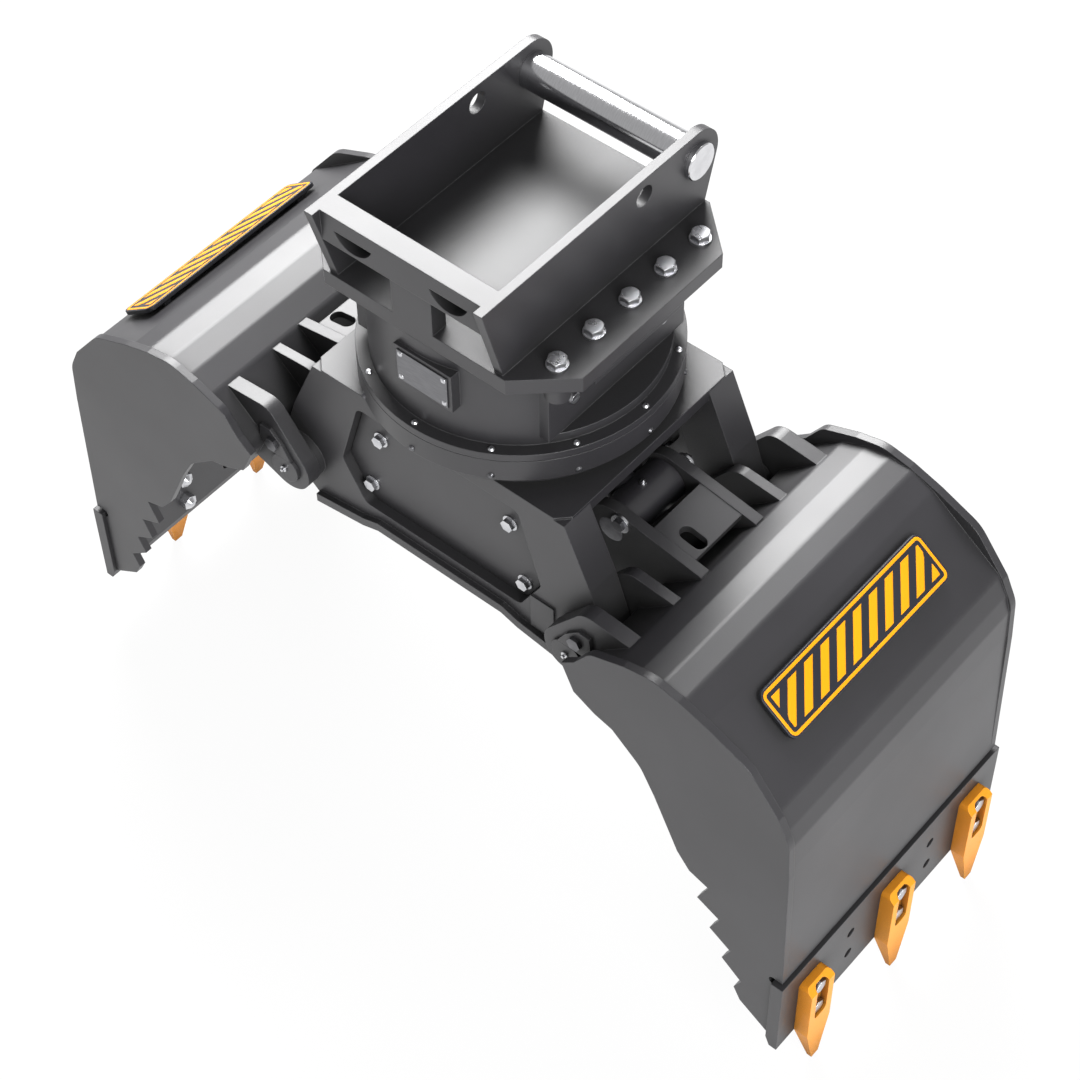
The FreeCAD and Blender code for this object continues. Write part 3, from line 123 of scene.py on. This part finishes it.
# %% floor
FLOOR_HEIGHT, FLOOR_HALF = -0.9, 30.0
FLOOR_GREY = (0.88, 0.88, 0.88, 1)
WHITE_SEEN, WHITE_MIRRORED = 0.94, 0.94


def white_share(tree):
    """How much plain white a ray sees: the larger of the share for camera rays and the share for
    rays that come off a shiny surface or through glass."""
    path = node(tree, "LightPath")
    shiny = node(tree, "Math", {0: path.outputs["Is Glossy Ray"], 1: path.outputs["Is Transmission Ray"]},
                 operation="MAXIMUM")
    mirrored = node(tree, "Math", {0: shiny.outputs[0], 1: WHITE_MIRRORED}, operation="MULTIPLY")
    seen = node(tree, "Math", {0: path.outputs["Is Camera Ray"], 1: WHITE_SEEN}, operation="MULTIPLY")
    return node(tree, "Math", {0: seen.outputs[0], 1: mirrored.outputs[0]}, operation="MAXIMUM")


floor_paint, tree = blank_material("floor_paint")
matt = node(tree, "BsdfDiffuse", {"Color": FLOOR_GREY})
white = node(tree, "Emission", {"Color": (1, 1, 1, 1), "Strength": 1.0})
share = white_share(tree)
blend = node(tree, "MixShader", {0: share.outputs[0], 1: matt.outputs[0], 2: white.outputs[0]})
node(tree, "OutputMaterial", {"Surface": blend.outputs[0]})

corners = [(x * FLOOR_HALF, y * FLOOR_HALF, FLOOR_HEIGHT) for x, y in ((-1, -1), (1, -1), (1, 1), (-1, 1))]
floor_mesh = bpy.data.meshes.new("floor")
floor_mesh.from_pydata(corners, [], [(0, 1, 2, 3)])
floor_mesh.materials.append(floor_paint)
floor = bpy.data.objects.new("floor", floor_mesh)
bpy.context.collection.objects.link(floor)
print("floor at", FLOOR_HEIGHT)

# %% [markdown]
# ## Light
# Charcoal paint is nearly black, so what one sees of it is mostly the room mirrored softly in it.
# The flat tops of the jaws mirror a large bright panel that hangs behind the left jaw, and the
# walls mirror the white floor. So the room is one large soft panel, a weaker one on the right, and an
# almost even grey sky. The panels are hidden from the camera itself.

# %% sky and panels
SKY_TOP, SKY_RIM = 0.44, 0.46
SKY_TOP_FROM = 0.7

sky = bpy.data.worlds.new("sky")
bpy.context.scene.world = sky
sky.use_nodes = True
tree = sky.node_tree
tree.nodes.clear()
ray = node(tree, "TexCoord")
height = node(tree, "SeparateXYZ", {0: ray.outputs["Generated"]})
glow = node(tree, "MapRange", {"Value": height.outputs["Z"], "From Min": 0.0, "From Max": SKY_TOP_FROM,
                               "To Min": SKY_RIM, "To Max": SKY_TOP})
shown = node(tree, "LightPath")
pick = node(tree, "Mix", {0: shown.outputs["Is Camera Ray"], 2: glow.outputs[0], 3: 1.0},
            data_type="FLOAT")
backdrop = node(tree, "Background", {"Color": (1, 1, 1, 1), "Strength": pick.outputs[0]})
node(tree, "OutputWorld", {"Surface": backdrop.outputs[0]})


def panel(name, azimuth, elevation, distance, width, height, radiance):
    """A soft lamp that faces the middle of the scene. Angles are in degrees, azimuth from +X towards
    +Y. Its watts are radiance times its area times pi."""
    a, e = np.radians([azimuth, elevation])
    at = Vector((np.cos(a) * np.cos(e), np.sin(a) * np.cos(e), np.sin(e))) * distance
    lamp = bpy.data.lights.new(name, "AREA")
    lamp.shape, lamp.size, lamp.size_y = "RECTANGLE", width, height
    lamp.energy = radiance * width * height * np.pi
    made = bpy.data.objects.new(name, lamp)
    made.matrix_world = Matrix.Translation(at) @ at.to_track_quat("Z", "Y").to_matrix().to_4x4()
    made.visible_camera = False
    bpy.context.collection.objects.link(made)
    print(name, "at", [round(v, 2) for v in at], "watts", round(lamp.energy, 1))


panel("key_panel", azimuth=139, elevation=40, distance=3.6, width=2.4, height=2.9, radiance=16.0)
panel("side_panel", azimuth=-25, elevation=27, distance=4.5, width=2.4, height=2.0, radiance=12.0)

# %% [markdown]
# ## Rounded edges and painted edge highlights
# No plate has a perfectly sharp edge. The Bevel node gives the surface direction as if each edge had a
# small radius, and where that differs from the real direction, an edge is near. The first goes on to the
# bump, the second becomes the mask for a highlight painted into the colour along the edges.

# %% edge tools
# The second number is where the mask for the painted edge highlight becomes full.
FLAT_FROM, EDGE_HIGHLIGHT_FROM = 0.995, 0.88
# OPEN_FROM and HIDDEN_FROM bound the mask for the shade painted into corners.
OPEN_FROM, HIDDEN_FROM = 0.9, 0.25


def soft_edges(tree, radius):
    """The rounded surface direction, and a mask: 0 on flats, up to 1 where the direction turns."""
    rounded = node(tree, "Bevel", {"Radius": radius}, samples=6).outputs["Normal"]
    flat = node(tree, "NewGeometry").outputs["Normal"]
    alike = node(tree, "VectorMath", {0: rounded, 1: flat}, operation="DOT_PRODUCT").outputs["Value"]
    near = node(tree, "MapRange", {"Value": alike, "From Min": FLAT_FROM, "From Max": EDGE_HIGHLIGHT_FROM}).outputs[0]
    return rounded, near


def sheltered(tree, distance):
    """1 deep in corners and under ledges, 0 on open surfaces: how much of the sky is hidden nearby. It is
    the mask for the shade painted into corners.
    """
    open_sky = node(tree, "AmbientOcclusion", {"Distance": distance}, samples=6).outputs["AO"]
    return node(tree, "MapRange", {"Value": open_sky, "From Min": OPEN_FROM,
                                   "From Max": HIDDEN_FROM}).outputs[0]


def cloud(tree, scale, low, high, detail=3.0, stretch=None):
    """Noise on object coordinates, mapped from low to high. stretch scales its three directions."""
    place = node(tree, "TexCoord").outputs["Object"]
    if stretch:
        place = node(tree, "Mapping", {"Vector": place, "Scale": stretch}).outputs[0]
    noise = node(tree, "TexNoise", {"Vector": place, "Scale": scale, "Detail": detail}).outputs[0]
    return node(tree, "MapRange", {"Value": noise, "From Min": 0.3, "From Max": 0.7,
                                   "To Min": low, "To Max": high}).outputs[0]


def tinted(tree, share, colour_a, colour_b):
    """A colour between two, by a share from 0 to 1. Each is three numbers or the output that gives it."""
    ends = [end if isinstance(end, bpy.types.NodeSocket) else (*end, 1) for end in (colour_a, colour_b)]
    return node(tree, "Mix", {0: share, 6: ends[0], 7: ends[1]}, data_type="RGBA").outputs[2]


print("edge tools ready")

# %% [markdown]
# ## Charcoal paint
# Every welded plate is sprayed in one satin charcoal. Up close such paint has a faint cloudiness and the
# fine orange peel of sprayed drops, which a flat colour lacks. Besides these, a highlight is painted as a
# lighter line along the edges, and shade is painted into the corners, where the gloss is duller too. Each
# is one noise or one mask, at the size it has on the real plate.

# %% painted metal
# The third scale breaks the painted edge highlight into patches; the row below sets the reach and depth of
# the shade painted into corners, and its dullness.
CLOUD_SCALE, GLOSS_SCALE, EDGE_LINE_PATCH_SCALE, PEEL_SCALE = 7.0, 5.0, 45.0, 420.0
CORNER_REACH, CORNER_SHADE, CORNER_DULLNESS = 0.14, 0.12, 0.8


def sprayed_paint(name, dark, light, edge, gloss, peel, radius, shine):
    """Sprayed enamel: cloudy colour, orange peel as bump, a highlight painted along the edges, shade
    painted into the corners and duller gloss there.
    """
    material, tree = blank_material(name)
    rounded, near = soft_edges(tree, radius)
    hidden = sheltered(tree, CORNER_REACH)
    clouds = tinted(tree, cloud(tree, CLOUD_SCALE, 0.0, 1.0), dark, light)
    # Painted shade: where the sky is hidden nearby, the colour darkens towards CORNER_SHADE times the dark
    # tone.
    corner_shaded = tinted(tree, hidden, clouds, [v * CORNER_SHADE for v in dark])
    dull = node(tree, "Mix", {0: hidden, 2: cloud(tree, GLOSS_SCALE, *gloss), 3: CORNER_DULLNESS},
                data_type="FLOAT").outputs[0]
    # Painted highlight: a lighter colour along the edges, broken into patches by noise.
    edge_line_share = node(tree, "Math", {0: near, 1: cloud(tree, EDGE_LINE_PATCH_SCALE, 0.15, 0.85)},
                  operation="MULTIPLY").outputs[0]
    colour = tinted(tree, edge_line_share, corner_shaded, edge)
    grain = node(tree, "Bump", {"Height": cloud(tree, PEEL_SCALE, 0.0, 1.0, detail=2.0), "Strength": 0.35,
                                "Distance": peel, "Normal": rounded}).outputs[0]
    shader = node(tree, "BsdfPrincipled", {"Base Color": colour, "Normal": grain, "Roughness": dull,
                                           "Specular IOR Level": shine})
    node(tree, "OutputMaterial", {"Surface": shader.outputs[0]})
    return material


CHARCOAL_DARK, CHARCOAL_LIGHT = (0.020, 0.019, 0.022), (0.026, 0.025, 0.029)
# The edge colour is a highlight painted along the edges.
CHARCOAL_EDGE_HIGHLIGHT = (0.07, 0.07, 0.075)
CHARCOAL_GLOSS, CHARCOAL_PEEL, PLATE_EDGE, CHARCOAL_SHINE = (0.37, 0.42), 0.00006, 0.0018, 0.75
charcoal = sprayed_paint("charcoal_paint", CHARCOAL_DARK, CHARCOAL_LIGHT, CHARCOAL_EDGE_HIGHLIGHT, CHARCOAL_GLOSS,
                         CHARCOAL_PEEL, PLATE_EDGE, CHARCOAL_SHINE)
print("made", charcoal.name)

# %% [markdown]
# ## Orange teeth
# The teeth are cast, and painted in a bright orange before they are bolted on. The paint
# is the same kind, so the same function makes it with other colours, a deeper orange peel and a
# weaker shine.

# %% tooth paint
# Its lighter edge colour is a painted highlight, and its corners get painted shade, as on the charcoal.
orange = sprayed_paint("tooth_orange", dark=(1.0, 0.34, 0.010), light=(1.0, 0.39, 0.015),
                       edge=(1.0, 0.46, 0.05), gloss=(0.34, 0.46), peel=0.0001, radius=0.0015, shine=0.35)
print("made", orange.name)

# %% [markdown]
# ## Bare metals
# The axle and the piston rod are hard chrome, ground round and round, so their fine lines run
# across their length. Bolts are zinc plated, which is duller and slightly blue. Bearings and the
# piston are turned steel, the pins and some bolts are blackened, and the bushes are bronze. One function
# makes them all: metal colour, a brushed noise that is stretched one way, and rounded edges with a
# highlight painted along them.

# %% metals
TONE_SCALE, SHEEN_SCALE, LINE_SCALE = 60.0, 70.0, 160.0
LINE_DEPTH, TURNED_EDGE = 0.00003, 0.0008


def brushed_metal(name, dark, light, gloss, stretch):
    """Bare metal with fine lines: noise stretched in one direction drives colour, gloss and bump; the
    colour is also lighter at the edges, a painted highlight.
    """
    material, tree = blank_material(name)
    rounded, near = soft_edges(tree, TURNED_EDGE)
    # Painted highlight: the colour lightens along the edges, mixed with the random tone of the metal.
    tone_and_edge_highlight = node(tree, "Math", {0: near, 1: cloud(tree, TONE_SCALE, 0.2, 1.0, stretch=stretch)},
                operation="MAXIMUM")
    colour = tinted(tree, tone_and_edge_highlight.outputs[0], dark, light)
    lines = node(tree, "Bump", {"Height": cloud(tree, LINE_SCALE, 0.0, 1.0, stretch=stretch),
                                "Strength": 0.3, "Distance": LINE_DEPTH, "Normal": rounded}).outputs[0]
    shader = node(tree, "BsdfPrincipled", {"Base Color": colour, "Metallic": 1.0, "Normal": lines,
                                           "Roughness": cloud(tree, SHEEN_SCALE, *gloss, stretch=stretch)})
    node(tree, "OutputMaterial", {"Surface": shader.outputs[0]})
    return material


CHROME_DARK, CHROME_LIGHT, CHROME_GLOSS = (0.62, 0.62, 0.64), (0.76, 0.76, 0.78), (0.10, 0.20)
NO_LINES, LINES_ACROSS_X, LINES_ACROSS_Y, LINES_ACROSS_Z = (1, 1, 1), (12, 1, 1), (1, 6, 1), (1, 1, 6)
FINE_LINES_ACROSS_Z = (1, 1, 14)
ground_chrome = brushed_metal("ground_chrome", CHROME_DARK, CHROME_LIGHT, CHROME_GLOSS, LINES_ACROSS_X)
plated_zinc = brushed_metal("plated_zinc", (0.52, 0.53, 0.56), (0.72, 0.72, 0.74), (0.24, 0.36), NO_LINES)
black_oxide = brushed_metal("black_oxide", (0.09, 0.09, 0.10), (0.20, 0.20, 0.21), (0.32, 0.45), NO_LINES)
turned_steel = brushed_metal("turned_steel", (0.42, 0.42, 0.44), (0.56, 0.56, 0.58), (0.25, 0.40),
                             LINES_ACROSS_Z)
bush_bronze = brushed_metal("bush_bronze", (0.45, 0.29, 0.12), (0.62, 0.43, 0.20), (0.28, 0.40),
                            LINES_ACROSS_Y)
plate_aluminium = brushed_metal("plate_aluminium", (0.15, 0.15, 0.16), (0.22, 0.22, 0.23), (0.32, 0.44),
                                FINE_LINES_ACROSS_Z)
print("made six metals")

# %% [markdown]
# ## A chrome rod with a painted eye
# The piston rod slides through a seal, so it is chromed, but the eye at its end is painted with the
# jaws. Rod and eye are one solid, so one material holds both finishes: a share that
# is 0 along the rod and 1 at the eye, read off the place along X, picks colour, metal and gloss.

# %% rod finish
PAINT_STARTS, PAINT_FULL = 0.172, 0.173
THIN_PEEL = 0.00005


def painted_eye_finish(name):
    """Chrome below PAINT_STARTS on X and charcoal above PAINT_FULL, with a millimetre between the two."""
    material, tree = blank_material(name)
    along = node(tree, "SeparateXYZ", {0: node(tree, "TexCoord").outputs["Object"]}).outputs["X"]
    painted = node(tree, "MapRange", {"Value": along, "From Min": PAINT_STARTS,
                                      "From Max": PAINT_FULL}).outputs[0]
    paint = tinted(tree, cloud(tree, CLOUD_SCALE, 0.0, 1.0), CHARCOAL_DARK, CHARCOAL_LIGHT)
    streaks = cloud(tree, TONE_SCALE, 0.2, 1.0, stretch=LINES_ACROSS_X)
    chrome = tinted(tree, streaks, CHROME_DARK, CHROME_LIGHT)
    chrome_gloss = cloud(tree, SHEEN_SCALE, *CHROME_GLOSS, stretch=LINES_ACROSS_X)
    gloss = node(tree, "Mix", {0: painted, 2: chrome_gloss, 3: cloud(tree, GLOSS_SCALE, *CHARCOAL_GLOSS)},
                 data_type="FLOAT").outputs[0]
    metal = node(tree, "Math", {0: 1.0, 1: painted}, operation="SUBTRACT").outputs[0]
    rounded, _ = soft_edges(tree, PLATE_EDGE)
    grain = node(tree, "Bump", {"Height": cloud(tree, PEEL_SCALE, 0.0, 1.0, detail=2.0), "Strength": 0.3,
                                "Distance": THIN_PEEL, "Normal": rounded}).outputs[0]
    shader = node(tree, "BsdfPrincipled", {"Base Color": tinted(tree, painted, chrome, paint),
                                           "Metallic": metal, "Roughness": gloss, "Normal": grain,
                                           "Specular IOR Level": CHARCOAL_SHINE})
    node(tree, "OutputMaterial", {"Surface": shader.outputs[0]})
    return material


rod_with_painted_eye = painted_eye_finish("rod_with_painted_eye")
print("made", rod_with_painted_eye.name)

# %% [markdown]
# ## Giving each part its finish
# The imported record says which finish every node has. The finish is put in the node's own material
# slots; its mesh stays as it is. Three kinds of node differ from their slot: the rod with its painted
# eye, and the bolts of the pin keepers and pin clips, which are dark on this grapple.

# %% finishes by node
HANDS = ("right", "left")
finish_of_slot = {
    "black_paint": charcoal, "orange_paint": orange, "stripe_sign": charcoal, "tag_metal": plate_aluminium,
    "chrome": ground_chrome, "zinc": plated_zinc, "dark_steel": black_oxide, "steel": turned_steel,
    "bronze": bush_bronze,
}
slot_of_node = {row["node"]: row["material_slot"] for row in frame["record"]["subparts"]}


def dress(name, finish):
    """Puts one finish in all material slots of a node."""
    mesh = grapple[name].data
    mesh.materials.clear()
    mesh.materials.append(finish)


for name, slot in slot_of_node.items():
    dress(name, finish_of_slot[slot])
dress("piston_rod", rod_with_painted_eye)
for hand in HANDS:
    dress("keeper_bolts_" + hand, black_oxide)
    dress("clip_bolts_" + hand, black_oxide)
print("dressed", len(slot_of_node), "nodes in", len(finish_of_slot), "finishes")

# %% [markdown]
# ## Surfaces from rings
# The sign plates are flat boards with round corners. A board, a frame and a stripe are all
# a row of rings, each ring the same number of points, with faces between one ring and the next. The
# ring is computed as one array, and so are the faces, so no loop runs over the points.

# %% ring tools
SHARP_FROM = np.radians(35)


def rounded_ring(half_long, half_wide, radius, steps=8):
    """Outline of a rectangle with round corners: at angle t, corner centre plus radius times
    (cos t, sin t), going once round. Gives an array of points (along the length, along the width)."""
    quarter = np.linspace(0, np.pi / 2, steps + 1)
    angle = (np.arange(4)[:, None] * np.pi / 2 + quarter).ravel()
    sign_u = np.repeat([1, -1, -1, 1], steps + 1)
    sign_v = np.repeat([1, 1, -1, -1], steps + 1)
    return np.stack([sign_u * (half_long - radius) + radius * np.cos(angle),
                     sign_v * (half_wide - radius) + radius * np.sin(angle)], axis=1)


def skin(rings, closed_path=False):
    """Faces over rings of shape (rings, points, 3): quads between neighbouring rings, and for an
    open row a flat cap on its first and last ring."""
    count, around = rings.shape[:2]
    last = count if closed_path else count - 1
    i, j = np.meshgrid(np.arange(last), np.arange(around), indexing="ij")
    i2, j2 = (i + 1) % count, (j + 1) % around
    quads = np.stack([i * around + j, i * around + j2, i2 * around + j2, i2 * around + j], axis=-1)
    faces = quads.reshape(-1, 4).tolist()
    if not closed_path:
        faces += [list(range(around))[::-1], list(range((count - 1) * around, count * around))]
    return rings.reshape(-1, 3), faces


def piece_from(name, parts, finish, body):
    """Joins (points, faces) parts into one mesh object, in metres, and hangs it on a body."""
    points, faces, start = [], [], 0
    for part_points, part_faces in parts:
        points.append(part_points)
        faces += [[start + k for k in face] for face in part_faces]
        start += len(part_points)
    mesh = bpy.data.meshes.new(name)
    mesh.from_pydata(np.concatenate(points), [], faces)
    work = bmesh.new()
    work.from_mesh(mesh)
    bmesh.ops.recalc_face_normals(work, faces=work.faces)
    work.to_mesh(mesh)
    work.free()
    mesh.polygons.foreach_set("use_smooth", np.ones(len(mesh.polygons), dtype=bool))
    mesh.set_sharp_from_angle(angle=SHARP_FROM)
    mesh.materials.append(finish)
    made = bpy.data.objects.new(name, mesh)
    bpy.context.collection.objects.link(made)
    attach(made, body)
    print(name, "points", len(mesh.vertices), "faces", len(mesh.polygons))
    return made


print("ring tools ready")

# %% [markdown]
# ## The plate that closes the lever box
# Each jaw is pushed by a pair of levers. Deep between the right pair lies a plate that joins the two and
# closes the box from below: one looks at it through the hole in the tie plate. The left pair leaves that
# place free, since the thick barrel swings through it. The slanted outline is carried from lever to lever.

# %% lever web
WEB_OUTLINE = np.array([(213.0, -261.0), (220.0, -271.0), (314.0, -271.0), (309.0, -261.0)])
WEB_HALF = 51.8
ends = [np.stack([WEB_OUTLINE[:, 0], np.full(len(WEB_OUTLINE), y), WEB_OUTLINE[:, 1]], axis=1) / 1000
        for y in (-WEB_HALF, WEB_HALF)]
piece_from("lever_web_right", [skin(np.array(ends))], charcoal, "right_jaw")

# %% [markdown]
# ## Where the signs stand
# Each jaw has one sign on the facet that slopes outwards and down. The facet's upper and lower fold are
# known, so a sign has its own small frame: one axis along the hinge, one down the slope and one
# off the facet. A point on the sign is written in these three and turned into metres here.

# %% facet frame
FACET_TOP, FACET_FOOT = np.array([523.0, -171.0]), np.array([643.0, -259.0])
SLOPE = (FACET_FOOT - FACET_TOP) / np.linalg.norm(FACET_FOOT - FACET_TOP)
SIGN_LONG, SIGN_WIDE, SIGN_THICK, SIGN_GAP = 356.0, 79.0, 7.0, 6.5
SIGN_START = {"right": 18.7, "left": 49.0}


def on_facet(hand, along_hinge, down, off):
    """Millimetres along the hinge, down the slope and off the facet, given as metres in the frame."""
    x = FACET_TOP[0] + SLOPE[0] * down - SLOPE[1] * off
    z = FACET_TOP[1] + SLOPE[1] * down + SLOPE[0] * off
    side = 1 if hand == "right" else -1
    return np.stack(np.broadcast_arrays(side * x, along_hinge, z), axis=-1) / 1000


print("slope of the facet", SLOPE.round(3))

# %% [markdown]
# ## Sign plates
# A sign is a black enamelled board with round corners, held off the shell by two bars. The
# board is four rings: foot, lower edge, upper edge and face, of which the outer two are drawn in a
# little, so that its rim is softly broken. The bars are plain blocks in the shadow behind it.

# %% boards
CORNER, BREAK = 13.0, 0.8
SPACER_HALF, SPACER_INSET, SPACER_BITE = 6.0, 4.0, 0.2
SPACER_AT = SIGN_LONG / 2 - 36


def middle_of(hand):
    """How far down the slope the middle of a sign lies."""
    return SIGN_START[hand] + SIGN_WIDE / 2


def board(hand):
    """Rounded rectangle carried through the thickness, inset by BREAK at its first and last ring."""
    rings = []
    for off, inset in ((0, BREAK), (BREAK, 0), (SIGN_THICK - BREAK, 0), (SIGN_THICK, BREAK)):
        ring = rounded_ring(SIGN_LONG / 2 - inset, SIGN_WIDE / 2 - inset, CORNER - inset)
        rings.append(on_facet(hand, ring[:, 0], middle_of(hand) + ring[:, 1], SIGN_GAP + off))
    return skin(np.array(rings))


def spacer(hand, centre):
    """A bar from the facet to just inside the back of the board, as two rings."""
    ring = rounded_ring(SPACER_HALF, SIGN_WIDE / 2 - SPACER_INSET, 0.5, steps=1)
    rings = [on_facet(hand, centre + ring[:, 0], middle_of(hand) + ring[:, 1], off)
             for off in (0.0, SIGN_GAP + SPACER_BITE)]
    return skin(np.array(rings))


# Its lighter edge colour is a painted highlight, and its corners get painted shade.
sign_enamel = sprayed_paint("sign_enamel", dark=(0.012, 0.013, 0.020), light=(0.016, 0.017, 0.026),
                            edge=(0.05, 0.05, 0.06), gloss=(0.38, 0.5), peel=CHARCOAL_PEEL,
                            radius=PLATE_EDGE, shine=0.5)
for hand in HANDS:
    parts = [board(hand), spacer(hand, -SPACER_AT), spacer(hand, SPACER_AT)]
    made = piece_from("sign_board_" + hand, parts, sign_enamel, hand + "_jaw")
    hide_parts("sign_" + hand)

# %% [markdown]
# ## Painted frame and stripes
# The face of the sign carries a plain orange frame and slanting orange stripes, as on the
# tailboard of any work machine. Thick screen paint stands a few tenths of a millimetre
# proud, so both are modelled: the frame is a low crowned profile carried round a rounded
# rectangle, and a stripe is the same crown carried along a slanted line.

# %% frame and stripes
FRAME_INSET, FRAME_WIDTH, SMALLEST_CORNER = 3.2, 5.0, 2.0
PAINT_HEIGHT, PAINT_BITE = 0.45, 0.1
STRIPE_WIDTH, STRIPE_STEP, STRIPE_MARGIN, STRIPE_RINGS = 19.0, 36.0, 14.0, 9
SIGN_FACE = SIGN_GAP + SIGN_THICK


def crown(width, height, steps=6):
    """Cross-section: an arched top, height times (1 - s**6) for s from -1 to 1, then one point below
    it that bites into the board."""
    s = np.linspace(-1, 1, steps + 1)
    top = np.stack([s * width / 2, height * (1 - s ** 6)], axis=1)
    return np.vstack([top, [[0, -PAINT_BITE]]])


def frame_band(hand):
    """The crown carried round the board: outward offset moves each ring of the outline."""
    rings = []
    for across, up in crown(FRAME_WIDTH, PAINT_HEIGHT):
        inset = FRAME_INSET + FRAME_WIDTH / 2 + across
        corner = max(CORNER - inset, SMALLEST_CORNER)
        ring = rounded_ring(SIGN_LONG / 2 - inset, SIGN_WIDE / 2 - inset, corner)
        rings.append(on_facet(hand, ring[:, 0], middle_of(hand) + ring[:, 1], SIGN_FACE + up))
    return skin(np.array(rings), closed_path=True)


def stripe(hand, start):
    """A slanted bar: at height v its section spans start + v to start + v + width, cut off at the ends."""
    reach_v, reach_u = SIGN_WIDE / 2 - STRIPE_MARGIN, SIGN_LONG / 2 - STRIPE_MARGIN
    low_v = max(-reach_v, -reach_u - start - STRIPE_WIDTH + 1)
    high_v = min(reach_v, reach_u - start - 1)
    if high_v <= low_v:
        return None
    section = crown(1.0, PAINT_HEIGHT)
    v = np.linspace(low_v, high_v, STRIPE_RINGS)[:, None]
    u = np.clip(start + v + STRIPE_WIDTH * (section[None, :, 0] + 0.5), -reach_u, reach_u)
    return skin(on_facet(hand, u, middle_of(hand) - v, SIGN_FACE + section[None, :, 1]))


# Its lighter edge colour is a painted highlight, and its corners get painted shade.
sign_orange = sprayed_paint("sign_orange", dark=(0.96, 0.35, 0.001), light=(1.0, 0.38, 0.002),
                            edge=(1.0, 0.44, 0.02), gloss=(0.38, 0.50), peel=0.00004, radius=0.0004,
                            shine=0.3)
starts = np.arange(-10, 10) * STRIPE_STEP - STRIPE_WIDTH / 2
for hand in HANDS:
    bars = [bar for bar in (stripe(hand, start) for start in starts) if bar]
    piece_from("sign_stripes_" + hand, [frame_band(hand)] + bars, sign_orange, hand + "_jaw")
